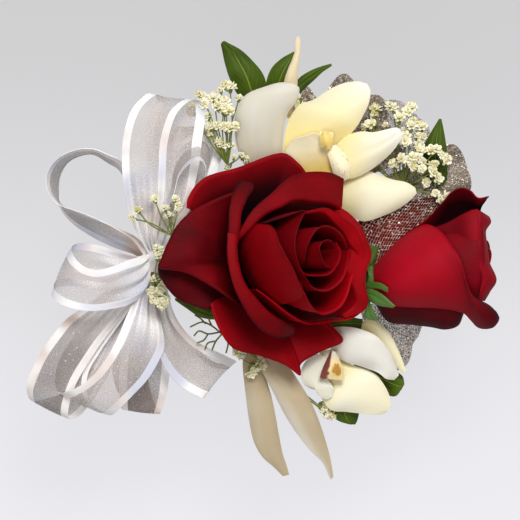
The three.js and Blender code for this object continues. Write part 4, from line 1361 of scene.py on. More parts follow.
SIDE_SEPALS = (
    RibSheet("sepal_back", (
        (372, 270, 374, 272, 22, 22, 0.2), (367, 262, 372, 263, 25, 25, 0.3),
        (368, 252, 377, 253, 27, 26, 0.4), (372, 245, 379, 248, 28, 27, 0.2),
    ), thickness=0.25, keel=0.3, tone=0.8),
    RibSheet("sepal_thin", (
        (364, 284, 364, 288, 25, 25, 0.5), (372, 282, 373, 288, 28, 28, 0.3),
        (381, 283.5, 381, 289, 30.5, 30.5, 0.3), (388, 288, 387.5, 292, 32, 32, 0.4),
    ), thickness=0.25, keel=0.3, tone=0.9),
    RibSheet("sepal_broad", (
        (362, 290, 362, 298, 25, 25, 0.5), (371, 289, 369, 299, 28, 27, 0.4),
        (382, 294, 378, 305, 30, 28, 0.4), (395, 306, 393, 307.5, 30.5, 29.5, 0.4),
    ), thickness=0.25, keel=0.4, tone=0.7),
    RibSheet("sepal_low", (
        (368, 298, 366, 300, 24, 24, 0.4), (372, 307, 366, 310, 24, 23, 0.3),
        (377, 317, 363, 316.5, 23, 22, 0.3), (379, 320, 372, 320, 22, 21.5, 0.3),
    ), thickness=0.25, keel=0.3, tone=1.0),
)

SIDE_AXIS = FlowerAxis((33.0, -4.5, SPRAY_HEIGHT + 14.5), 80.0, 5.0)
SIDE_SKIN = StreakedFinish("sepal skin", fresh=linear(84, 132, 42))
SIDE_RED = RosePetalFinish("half-open rose petal", bright=linear(194, 13, 36), deep=linear(26, 1, 4))


@dataclass
class HalfOpenRose:
    """The half-open rose at the right, which lies along the arm."""

    axis: FlowerAxis = SIDE_AXIS
    calyx: Calyx = Calyx(SIDE_AXIS, 6.0, 7.0, ((4.5, -2), (9, -0.5)), 23.0, SIDE_SKIN)
    finish: Finish = SIDE_RED
    rolls: Rows = ((9.0, 31.0, 0.4), (6.4, 32.5, 2.3), (3.8, 33.0, 4.4))  # radius, height, first angle
    roll_foot: float = 6.0
    roll_thickness: float = 0.34

    def build(self) -> None:
        """Makes the petals, the heart and the calyx."""
        for name, sheets in SIDE_PETALS.items():
            shape = join(sheet.patch(56, 37) for sheet in sheets)
            dress(f"side_rose_petal_{name}", shape, self.finish, Slot.ROSE)
        dress("side_rose_heart", join(self.roll(*row) for row in self.rolls), self.finish, Slot.ROSE)
        leafy = join([self.calyx.patch(), *(sheet.patch(20, 11) for sheet in SIDE_SEPALS)])
        dress("side_rose_calyx", leafy, self.calyx.finish, Slot.CALYX)

    def roll(self, radius: float, top: float, start: float) -> Patch:
        """One of the nested open rolls in the middle of the bud.

        Args:
            radius: Its radius.
            top: Its height along the flower's axis.
            start: The angle of its first edge.

        Returns:
            The closed roll.
        """
        angle = start + np.linspace(0, 1.65 * math.pi, 40)
        u = np.linspace(0, 1, 20)[:, None]
        reach = radius * (0.55 + 0.45 * np.sin(u * math.pi * 0.6)) + 0.8 * smooth_step(u, 0.85, 1.0)
        level = self.roll_foot + (top - self.roll_foot) * u + 0.8 * np.sin(angle * 2) * u
        grid = self.axis.round(reach + 0 * angle, angle + 0 * u, level)
        return thick_sheet(grid, self.roll_thickness).mark("tone", 0.6).mark("hollow", 0.5)


# Orchids


WAXY_TEPAL = TepalFinish("orchid tepal")
SHADED_TEPAL = TepalFinish("shaded tepal", pale=linear(230, 227, 217), cream=linear(184, 168, 138))
BEIGE_TEPAL = TepalFinish("beige tepal", pale=linear(238, 226, 200), cream=linear(222, 196, 146))
UPPER_TEPALS = (
    RibSheet("tall", (
        (284, 158, 336, 156, 14, 15, 0.7), (284, 142, 344, 142, 16, 17, 2),
        (289, 121, 352, 132, 17, 19, 2.9), (299, 106, 358, 124, 18, 20, 3.2),
        (314, 100, 365, 111, 18, 20, 2.9), (331, 89, 369, 101, 18, 19.5, 2),
        (346, 83, 370, 91, 18, 18.5, 1), (358, 81.5, 367, 84, 18, 18, 0.3),
    ), keel=0.3, wave=0.5, tone=0.8, last_tone=0.15, fade=0.3),
    RibSheet("right", (
        (330, 152, 338, 176, 18, 18, 0.7), (346, 137, 352, 178, 19, 18, 2),
        (360, 132, 368, 171, 20, 18.5, 2.3), (374, 132.5, 383, 160, 20.5, 19, 2),
        (387, 129.5, 394, 149, 21, 19.5, 1.3), (396, 128, 401, 138, 21, 20.5, 0.5),
        (400, 129.5, 402, 133, 21, 21, 0.1),
    ), keel=0.3, wave=0.4, tone=0.5, last_tone=0.05, fade=0.1),
    RibSheet("low_right", (
        (330, 186, 332, 204, 13, 13, 0.7), (348, 179, 350, 215, 14, 14, 2),
        (364, 171, 364, 221, 15, 15, 2.6), (379, 175.5, 384, 215, 16, 15.5, 2.6),
        (393, 180, 398, 208.5, 16, 16, 2), (407, 183, 410, 200, 16, 16, 1),
        (415, 188, 416.5, 193, 16, 16, 0.2),
    ), wave=0.5, tone=0.42),
    RibSheet("left", (
        (252, 178, 284, 172, 13, 13, 0.7), (239, 152, 282, 150, 15, 14.5, 2.3),
        (235, 128, 283, 128, 17, 16, 3.2), (237, 110, 288, 112, 18.5, 17.5, 3.2),
        (246, 95.5, 294, 104, 19.5, 18.5, 2.6), (264, 87.5, 298, 96, 20, 19, 2),
        (281, 83, 299, 90, 20, 19.5, 1), (294, 84, 298.5, 87, 20, 20, 0.2),
    ), arch=70, wave=0.4, tone=0.24),
    RibSheet("narrow", (
        (288, 118, 296, 118, 9, 9, 0.4), (284, 100, 297, 100, 10, 10, 0.8),
        (284.5, 82, 297, 82, 11, 10.5, 0.9), (288, 70, 298, 70, 11, 10.5, 0.8),
        (292.5, 60, 299, 60, 11, 11, 0.6), (295.5, 50, 300, 50, 11, 11, 0.4),
        (295.5, 42, 300, 42, 11, 11, 0.2), (297, 36.5, 299, 36.5, 11, 11, 0.1),
    ), tone=0.5),
)
# The long tepals' first edges are painted paler, as light along their turned edges.
LOWER_TEPALS = (
    RibSheet("white", (
        (324, 328, 333, 354, 12, 11, 0.7), (345, 327, 345, 361, 15, 13, 1.5),
        (362, 330, 358, 365, 16, 14, 1.7), (377, 337, 368, 368.5, 16, 14.5, 1.6),
        (388, 350, 378, 372.5, 15, 14.5, 1.2), (394.5, 364, 386, 378.5, 14, 14, 0.8),
        (398.5, 375, 394, 379.5, 13, 13, 0.2),
    ), wave=0.9, tone=-0.3),
    RibSheet("round", (
        (338, 352, 318, 380, 9, 9, 0.5), (350, 364, 321, 396, 11, 10.5, 1.5),
        (364, 369, 331, 409.5, 12, 11, 1.9), (376, 375, 347, 411.5, 12, 11, 1.9),
        (384.5, 386, 364, 413.5, 11.5, 10.5, 1.5), (389, 396, 378, 414.5, 11, 10, 0.8),
        (390.5, 405, 386, 412, 10.5, 10, 0.3),
    ), wave=0.5, tone=0.36),
    RibSheet("long_right", (
        (256, 352, 272, 346, 10, 10, 0.4), (263, 372, 286, 363, 11, 10.5, 1.3),
        (274, 393, 300, 384, 11.5, 10.5, 1.6), (286, 416, 312, 405, 11, 10, 1.6),
        (297, 433, 320, 425, 10, 9.5, 1.3), (311, 451, 326.5, 445, 9, 8.5, 0.9),
        (323, 463, 330.5, 460, 8, 8, 0.4), (330.5, 479.5, 333, 477, 7, 7, 0.1),
    ), wave=0.4, tone=0.95, painted_edge_light=-0.6),
    RibSheet("long_left", (
        (244, 342, 262, 344, 7, 7, 0.4), (243, 366, 265, 374, 8.5, 8, 1.3),
        (246, 394, 271.5, 398, 8.5, 8, 1.6), (249.5, 420, 275.5, 418, 8, 7.5, 1.6),
        (254.5, 442, 279, 438, 7, 6.5, 1.3), (263, 457, 282.5, 455, 6, 5.5, 0.9),
        (273.5, 466.5, 286.5, 466, 5, 4.5, 0.5), (283, 476, 289, 474.5, 4, 4, 0.1),
    ), wave=0.4, tone=0.85, last_tone=1.15, fade=0.2, painted_edge_light=-0.2),
    RibSheet("behind", (
        (352, 324, 356, 336, 9, 8, 0.4), (372, 320.5, 371, 340, 10, 8.5, 1),
        (386, 329, 379, 350, 10, 8.5, 1.3), (396, 346, 388, 360, 9.5, 8.5, 1),
        (402, 360, 396, 367, 9, 8.5, 0.5), (406, 371.5, 404, 372.5, 8.5, 8.5, 0.1),
    ), tone=0.5),
)
UPPER_LIPS = (
    RibSheet("cup", (
        (284, 153, 298, 178, 19, 16, -0.2), (293, 140, 311, 180, 21, 16.5, -0.6),
        (304, 136, 324, 180, 22, 17, -1), (315, 133, 334, 177, 22.5, 18, -1),
        (322, 136, 338, 172, 22.5, 19.5, -0.5),
    ), tone=0.0),
    RibSheet("side_lobe", (
        (326, 148, 336, 145, 20, 20, 0.3), (330, 161, 345, 155, 20.5, 20.5, 1),
        (334, 174, 350, 167, 20, 20.5, 1), (338, 183, 349, 178, 19, 19.5, 0.2),
    ), tone=-1.0),
    RibSheet("callus", (
        (319.5, 132, 321, 147, 23, 22.5, 0.8), (326, 131.5, 327, 149, 23.5, 23, 1.4),
        (333, 133, 332, 147, 23, 22.5, 0.8),
    ), wave=0.6, tone=1.0),
)
LOWER_LIPS = (
    RibSheet("lobe", (
        (316, 353, 329, 358, 13, 14, 0.1), (306, 361, 325, 371, 13, 14, 0.3),
        (301, 372, 321, 381, 13, 14, 0.4), (304, 384, 321, 388, 12.5, 14, 0.3),
        (312, 389, 321, 391, 12.5, 13.5, 0.1),
    ), thickness=0.2, wave=0.3, tone=-0.3),
    RibSheet("low_lobe", (
        (317, 381, 327, 379, 13.8, 14.3, 0.1), (315, 389, 332, 385, 13.8, 14.3, 0.3),
        (319, 396, 334, 391, 13.3, 13.8, 0.3), (326, 399.5, 332, 397, 13, 13.5, 0.1),
    ), thickness=0.2, wave=0.2, tone=0.0),
    RibSheet("callus", (
        (331, 351, 335, 352, 16.5, 16.5, 0.2), (327, 360, 339, 360, 17, 17, 1),
        (322.5, 370, 343, 370, 17, 17, 1.4), (320, 378, 344.5, 380, 16.5, 16.5, 0.7),
    ), tone=1.0),
)


@dataclass
class Orchid:
    """One orchid: tepals, lip, and the column with the stem behind it."""

    prefix: str
    at: Point
    tepals: tuple[RibSheet, ...]
    lips: tuple[RibSheet, ...]
    lip_finish: LipFinish
    column: Rows
    stem_foot: float
    finishes: dict[str, TepalFinish]  # of the tepals that aren't the plain cream
    column_radius: float = 1.9
    stem_radius: float = 1.3

    def build(self) -> None:
        """Makes the tepals, the lip and the column."""
        for row in self.tepals:
            finish = self.finishes.get(row.name, WAXY_TEPAL)
            dress(f"{self.prefix}_tepal_{row.name}", row.patch(), finish, Slot.ORCHID)
        lip = join(row.patch(28, 21) for row in self.lips)
        dress(f"{self.prefix}_lip", lip, self.lip_finish, Slot.LIP)
        middle = join([self.hood(), self.stem()]).mark("tone", 0.4)
        dress(f"{self.prefix}_column", middle, WAXY_TEPAL, Slot.LIP)

    def hood(self) -> Patch:
        """The column: a stout post with a rounded cap."""
        path = curve(np.array(self.column) + np.array(self.at), 18)
        u = np.linspace(0, 1, 18)
        swelling = 0.75 + 0.35 * np.sin(u * math.pi * 0.8)
        return tube(path, self.column_radius * swelling * np.sqrt(1.02 - smooth_step(u, 0.75, 1.0)), 14)

    def stem(self) -> Patch:
        """The stem from behind the flower to the bundle."""
        start = np.array(self.at)
        foot = np.array([self.stem_foot, 0.0, SPRAY_HEIGHT])
        halfway = start + (foot - start) * np.array([0.5, 0.5, 0.75])
        return tube(curve([start, start - [0, 0, 1], halfway, foot], 20), self.stem_radius, 10)


# Leaves


LEAF_SPRIGS = {
    "upper": (
        ((2, 0, 0), (2, 12, 2), (0, 26, 2.5), (0.5, 43, 3.5)),
        (
            RibSheet("broad", (
                (252, 112, 257, 111, 8, 8, 0.2), (237, 93, 266, 90, 9, 9, 1.5),
                (229.5, 77, 263, 75, 10, 10, 2.2), (225, 62, 252, 61, 10.5, 10.5, 2),
                (222.5, 50, 240, 50, 10, 10, 1.2), (221.5, 44, 229, 44, 10, 10, 0.5),
                (223.5, 41.5, 224.5, 41.5, 10, 10, 0.1),
            ), keel=0.8, tone=0.1),
            RibSheet("middle", (
                (270, 110, 275, 110, 8, 8, 0.2), (266, 88, 287, 92, 8.5, 8.5, 1.2),
                (271, 70, 294, 76, 9.5, 9.5, 1.8), (281, 59.5, 297, 64, 9.5, 9.5, 1.2),
                (294, 52, 298, 54, 9, 9, 0.2),
            ), keel=0.6, tone=0.2),
            RibSheet("pointed", (
                (286, 104, 290, 108, 6, 6, 0.2), (298, 80, 304, 89, 5.5, 5, 1),
                (310, 71.5, 314, 79.5, 5, 5, 1), (321, 67, 322.5, 71.5, 4.5, 4.5, 0.5),
                (331.5, 64, 331.5, 65.5, 4.5, 4.5, 0.1),
            ), keel=0.5, tone=0.3),
        ),
    ),
    "right": (
        ((26, 0, 0), (34, 3, 1), (42, 8.5, 2), (47.5, 14.5, 3.2)),
        (
            RibSheet("upright", (
                (426, 204, 434, 206, 8, 8, 0.3), (424, 184, 445, 188, 9.5, 9, 1.4),
                (423, 163, 447, 168, 11, 10, 1.8), (425, 145, 446, 148, 11.5, 11, 1.4),
                (431, 133, 444, 134, 11, 11, 0.8), (439.5, 119, 441, 119, 11, 11, 0.1),
            ), keel=0.7, tone=0.2),
        ),
    ),
    "lower": (
        ((22, 0, 0), (23, -10, 0.5), (22.5, -22, 0), (21.7, -34, 0.5)),
        (
            RibSheet("notched", (
                (336, 378, 342, 378, 5, 5, 0.2), (328, 402, 358, 402, 5.5, 5.5, 1.4),
                (331, 414, 358.5, 413, 6, 6, 1.6), (339, 420.5, 357, 420, 6, 6, 1),
                (350, 424, 355, 424, 5.5, 5.5, 0.1),
            ), keel=0.5, tone=0.3),
            RibSheet("round", (
                (350, 360, 352, 354, 4, 4, 0.2), (374, 386, 382, 366, 2.5, 2.5, 1),
                (386, 394, 394, 371, 3, 3, 1.2), (395, 396, 402, 376, 4, 4, 1),
                (401, 390, 404.5, 384, 5, 5, 0.1),
            ), keel=0.5, tone=0.4),
            RibSheet("shaded", (
                (318, 322, 324, 332, 11, 10, 0.3), (343, 317, 346, 329, 12, 10.5, 1),
                (363, 319, 361, 329, 12, 11, 0.1),
            ), keel=0.3, tone=-0.2),
        ),
    ),
}
LEFT_LEAF = RibSheet("small_left_leaf", (
    (226, 314, 228, 317, 17, 17, 0.2), (212, 311, 213, 319, 17, 17, 0.8), (200, 306, 200, 316.5, 17, 17, 1),
    (186, 302, 187, 308, 16, 16, 0.6), (175, 298.5, 175.5, 300, 15, 15, 0.1),
), keel=0.4, tone=0.8)
LEFT_TWIG = ((-9, 0, SPRAY_HEIGHT), (-9, -8, 12), (-9.5, -16, 17))


@dataclass
class Leaves:
    """The leaf sprigs round the flowers."""

    twig_radius: float = 0.6
    small_twig_radius: float = 0.5
    twig_tone: float = 0.6
    finish: Finish = LeafFinish("leaf")

    def build(self) -> None:
        """Makes each sprig's twig and leaves, and the small leaf by the bow."""
        lift = np.array([0, 0, SPRAY_HEIGHT])
        for name, (twig, leaves) in LEAF_SPRIGS.items():
            stalk = tube(curve(np.array(twig, float) + lift, 24), self.twig_radius)
            sprig = join([stalk.mark("tone", self.twig_tone), *(leaf.patch(40, 17) for leaf in leaves)])
            dress(f"{name}_leaf_sprig", sprig, self.finish, Slot.LEAF)
        stalk = tube(curve(LEFT_TWIG, 16), self.small_twig_radius).mark("tone", self.twig_tone)
        small = join([stalk, LEFT_LEAF.patch(30, 13)])
        settle(make_object("small_left_leaf", small, self.finish), Slot.LEAF)


# Bow


@dataclass(frozen=True)
class RibbonLoop(Ribbed):
    """One loop of ribbon, out from the knot to its fold and back."""

    shaded: bool = False
    replaces: bool = True


BOW_LOOPS = (
    RibbonLoop("side", (
        (149, 254, 149, 258, 16, 11), (135, 190, 132, 198, 21, 7), (121, 162, 121, 171, 21.5, 6),
        (108, 155, 109, 163, 21.5, 6), (93, 149, 93, 154, 21.5, 6), (75, 150, 77, 157, 21.5, 6),
        (57, 159, 66, 165, 21.5, 6), (47, 174, 60, 178, 21.5, 6), (48, 191, 59, 192, 21.5, 6),
        (58, 204, 58.5, 204, 21.5, 6), (77, 211, 71, 222, 21, 6), (98, 219, 92, 236, 20, 7),
        (118, 228, 115, 246, 19, 8), (136, 239, 135, 252, 18, 9), (148, 256, 147, 260, 16, 11),
    ), shaded=True),
    RibbonLoop("left", (
        (147, 254, 148, 270, 17, 17), (140, 257, 146, 292, 20, 19), (127, 261, 130, 304, 23, 22),
        (111, 267, 111, 309, 25, 24), (97, 270, 92, 311, 26, 25), (84, 266.5, 75, 309, 26, 25),
        (75, 258, 59, 303, 25, 24), (71.5, 250, 52, 296.5, 22, 21), (73.5, 245, 54, 289, 18, 17.5),
        (84, 243, 66, 286, 15.5, 15), (101, 246, 86, 288, 14.5, 14), (119, 252, 107, 290, 14, 13.5),
        (138, 256, 130, 286, 14, 13.5), (147, 255, 147, 268, 14, 14),
    )),
    RibbonLoop("tall", (
        (149, 252, 156, 250, 17, 17), (135, 228, 158, 226, 21, 21), (126, 200, 164, 198, 25, 25),
        (122, 165, 166, 168, 28, 28), (123.5, 136, 168, 140, 29.5, 29.5), (131, 111, 177, 113, 29, 29.5),
        (141, 98.5, 188, 102, 27, 27.5), (150, 93.5, 196, 99, 24, 24.5), (157, 99, 202, 103, 21, 21.5),
        (151, 112, 205, 115, 19, 19.5), (145, 133, 202, 140, 18, 18), (148, 160, 198, 170, 17, 17),
        (155, 195, 188, 205, 16, 16), (157, 228, 168, 234, 15, 15), (153, 252, 159, 252, 14.5, 14.5),
    )),
    RibbonLoop("lower", (
        (151, 269, 160, 270, 15, 15), (137, 296, 157, 302, 18, 17), (127, 316, 163, 330, 20, 18),
        (119, 335, 164, 348, 21, 19), (109, 354, 157, 364, 21, 19.5), (97, 371, 147, 380, 20.5, 19),
        (83, 384, 132, 396, 19, 18), (68, 391.5, 119, 409, 16.5, 16), (61, 393, 111, 415, 13.5, 13),
        (57, 390, 100, 411, 11, 10.5), (55, 378, 88, 396, 9.5, 9.5), (59, 361, 88, 374, 9, 9),
        (69, 343.5, 100, 352, 9.5, 9), (82, 325, 115, 330, 10, 10), (100, 310, 128, 312, 11, 11),
        (150, 269, 156, 271, 12.5, 12.5),
    )),
    RibbonLoop("low_left", (
        (148, 266, 155, 271, 13, 13), (118, 284, 140, 296, 13, 12), (84, 307, 118, 322, 13.5, 12),
        (66, 319.5, 102, 342, 14, 12), (53, 335, 88, 363, 14, 12), (41, 352, 76, 384, 13.5, 12),
        (31.5, 371, 70, 402, 12.5, 11.5), (26.5, 387, 68, 415, 11, 10), (29, 398, 70, 419, 8.5, 8),
        (35, 401, 79, 416, 6.5, 6), (48, 398, 88, 406.5, 5, 5), (63, 392, 98, 393, 4.5, 5),
        (80, 365, 115, 362, 5, 5.5), (105, 325, 134, 322, 7, 7), (150, 270, 156, 272, 10, 10),
    ), shaded=True),
    RibbonLoop("low_right", (
        (163, 266, 157, 271, 13, 13), (166, 290, 154, 300, 13, 15.5), (172, 312, 151, 320, 11.5, 17),
        (182, 328, 153, 338, 10.5, 17.5), (196, 341.5, 160, 357, 10, 17.5), (213, 350, 169, 374, 9.5, 16.5),
        (228, 357, 183, 388, 9.5, 15), (236, 362, 203.5, 398, 8.5, 12.5), (231, 364, 204, 396, 5.5, 9),
        (217, 363, 193, 388, 2.5, 8), (203, 354, 176, 370, 1, 8), (188, 339, 162, 352, 1.5, 9),
        (174, 317, 155, 329, 3.5, 10), (165, 290, 154, 300, 7.5, 11), (161, 270, 157, 272, 11.5, 11.5),
    )),
    RibbonLoop("tall_right", (
        (155, 252, 160, 252, 12, 12), (161, 225, 176, 228, 12, 12), (166, 195, 202, 203, 12.5, 12.5),
        (168, 165, 217, 172, 13, 13), (170, 145, 222, 153, 13, 13), (173, 132, 219, 137, 12, 12),
        (178, 126.5, 211, 125, 10.5, 10.5), (182, 130, 209, 130, 9, 9), (180, 150, 214, 158, 8.5, 8.5),
        (176, 180, 208, 190, 9, 9), (168, 215, 186, 220, 10, 10), (156, 252, 161, 253, 10.5, 10.5),
    )),
    RibbonLoop("small", (
        (154, 252, 157, 252, 15, 18), (162, 220, 168, 218, 14, 22), (168, 192, 175, 194, 13, 25),
        (168.5, 168, 178.5, 177, 13, 26), (173, 152, 186, 166.5, 13, 26.5),
        (183, 140, 195, 160.5, 13, 26.5), (196, 133.5, 203, 161.5, 13, 26), (208, 138, 206, 170, 12.5, 25),
        (213, 153, 204, 182, 12, 23), (207, 176, 197, 196, 12, 20), (188, 212, 182, 216, 12, 17),
        (160, 253, 158, 252, 13, 15),
    )),
    RibbonLoop("behind", (
        (153, 271, 162, 269, 11, 11), (136, 303, 170, 308, 10, 10), (125, 333, 172, 336, 8.5, 9.5),
        (120, 360, 171, 360, 7.5, 9), (119, 385, 169, 380, 6.5, 8), (120, 402, 166, 396, 5, 6.5),
        (122, 409, 160, 413.5, 3, 4.5), (124, 404, 158, 411, 1, 2.5), (116, 388, 152, 396, 0, 2),
        (112, 365, 148, 375, 0, 3), (118, 338, 152, 343, 2, 5), (137, 303, 160, 306, 6, 9),
        (154, 272, 160, 271, 10, 10),
    ), shaded=True, replaces=False),
)


ORGANZA = RibbonFinish("organza ribbon")
SHADED_ORGANZA = RibbonFinish(
    "shaded organza", linear(244, 238, 235), linear(212, 190, 178),
    shade=linear(130, 119, 115), sheer_cover=0.5,
)


@dataclass
class Bow:
    """The ribbon bow at the left: a gathered knot and its loops."""

    knot: Point = (-31.0, -1.0, 12.7)
    knot_radius: float = 3.2
    knot_height: float = 9.0
    width: float = 16.0
    thickness: float = 0.16
    gathered: float = 0.32  # share of the width at the knot
    pleats: int = 3
    pleat_depth: float = 1.2  # beside that of an even wave of the ribbon's own width
    bulge: float = 0.7  # how far the middle of the ribbon stands out from its edges

    def loop_grid(self, loop: RibbonLoop, rows: int = 120, columns: int = 37) -> Array:
        """Works out a loop's surface, pleated where its edges draw together.

        Args:
            loop: The loop.
            rows: Points along the ribbon.
            columns: Points across it.

        Returns:
            Points by row and column.
        """
        first, second = loop.edges(rows)
        across = second - first
        face = unit(np.cross(np.gradient((first + second) / 2, axis=0), across))
        share = np.clip(np.linalg.norm(across, axis=1) / self.width, self.gathered, 1)[:, None]
        crimp = np.sqrt(1 / share**2 - 1) * self.width * share / (math.tau * self.pleats) * self.pleat_depth
        crimp = crimp * smooth_step(np.abs(np.linspace(-1, 1, rows)), 0.4, 0.85)[:, None]
        v = np.linspace(-1, 1, columns)
        lift = crimp * np.cos(math.pi * self.pleats * v) + self.bulge * share**2 * (1 - v**2)
        middle = (first + second)[:, None] / 2 + across[:, None] * (v / 2)[None, :, None]
        return middle + face[:, None] * lift[..., None]

    def build(self) -> None:
        """Makes the knot and the loops."""
        dress("bow_knot", self.knot_shape(), ORGANZA, Slot.RIBBON)
        for loop in BOW_LOOPS:
            node = f"bow_loop_{loop.name}"
            grid = self.loop_grid(loop)
            finish = SHADED_ORGANZA if loop.shaded else ORGANZA
            piece = make_object(f"dressed_{node}", thick_sheet(grid, self.thickness), finish)
            settle(piece, Slot.RIBBON, *([node] if loop.replaces else []))

    def knot_shape(self) -> Patch:
        """The middle that the loops are tied to: ribbon wound tight in creases."""
        u = np.linspace(0, 1, 24)[:, None]
        angle = around(48)[None, :]
        waist = 1 - 0.2 * np.sin(math.pi * u)
        crease = 1 + 0.05 * np.sin(9 * angle + 14 * u) + 0.03 * np.sin(40 * u)
        reach = self.knot_radius * waist * crease
        level = (u - 0.5) * self.knot_height + 0 * angle
        rings = np.stack([reach * np.cos(angle), reach * np.sin(angle), level], axis=-1)
        return ringed(rings + np.array(self.knot))


# Filler blossom


FILLER_SPRIGS = {
    "upper": (
        ((-9, 0, 4.5), (-10, 9, 8.5), (-10.5, 18, 12.5), (-10, 27, 16)),
        (
            (203, 98, 19, 3), (195, 109, 18, 2), (214, 99, 20, 2), (221, 91, 19, 1), (230, 88, 18, 2),
            (225, 103, 21, 2), (223, 112, 21, 3), (239, 99, 16, 1), (215, 127, 19, 2), (223, 125, 19, 1),
            (230, 129, 21, 3), (222, 146, 18, 2), (231, 146, 18, 1), (241, 156, 18, 2), (234, 158, 18, 1),
            (229, 167, 17, 1), (208, 117, 18, 1), (211, 135, 18, 1),
        ),
        0.92,
    ),
    "right": (
        ((26, 0, 4.5), (33, 8, 7.5), (37.5, 14, 8.5), (41, 20.5, 9.5)),
        (
            (393, 109, 14, 2), (411, 109, 14.5, 2), (399, 119, 15.5, 1), (411, 127, 15.5, 3),
            (421, 128, 14.5, 1), (405, 137, 16, 2), (418, 137, 16, 2), (419, 151, 16.5, 3),
            (436, 150, 17, 2), (443, 156, 17, 2), (408, 160, 17, 4), (422, 161, 17.5, 3), (436, 164, 18, 2),
            (432, 172, 18, 3), (437, 179, 16, 1), (425, 182, 15, 1), (393, 165, 14, 1), (440, 198, 17, 3),
            (375, 115, 13.5, 2), (371, 126, 13.5, 2), (297, 100, 12.5, 2), (300, 108, 12, 2),
            (386, 126, 14, 1),
        ),
        0.92,
    ),
    "left": (
        ((-19, 0, 4.5), (-20, 1.5, 13.5), (-22.5, 4, 22), (-26, 6.5, 26.5)),
        (
            (134, 219, 29, 2), (138, 211, 30, 1), (155, 200, 29.5, 1), (165, 209, 28.5, 1),
            (169, 216, 28, 1), (178, 206, 28.5, 2), (175, 200, 28, 1),
        ),
        0.65,
    ),
    "lower": (
        ((-12, 0, 4.5), (-14, -8, 8), (-13.5, -16, 9.5), (-11, -22, 10)),
        ((240, 354, 12, 2), (254, 367, 12.5, 3), (326, 413, 8, 3), (322, 408, 8.5, 2)),
        0.92,
    ),
}
BARE_TWIGS = (
    ((222, 334), (212, 326), (202, 322), (190, 327)), ((206, 324), (200, 318), (195, 315)),
    ((212, 326), (209, 319), (211, 313)), ((220, 332), (208, 334), (199, 331), (194, 336)),
    ((208, 334), (204, 340), (197, 343)), ((222, 334), (216, 341), (212, 350)),
    ((216, 341), (208, 343), (205, 349)), ((224, 330), (228, 343), (226, 353)),
    ((227, 340), (234, 347), (239, 353)), ((222, 334), (230, 338), (236, 344)),
)
EDGE_SPRIG = (
    ((-19, 0, 4.5), (-22, -3, 12), (-27, -6, 19), (-30, -8, 22)),
    (
        (160, 251, 24, 2), (158, 257, 24, 1), (152, 290, 24, 2), (160, 290, 25, 3), (158, 300, 25, 3),
        (166, 297, 26, 2), (154, 281, 23, 1), (150, 284, 23, 0), (156, 274, 24, 0), (158, 268, 24, 0),
    ),
    0.8,
)


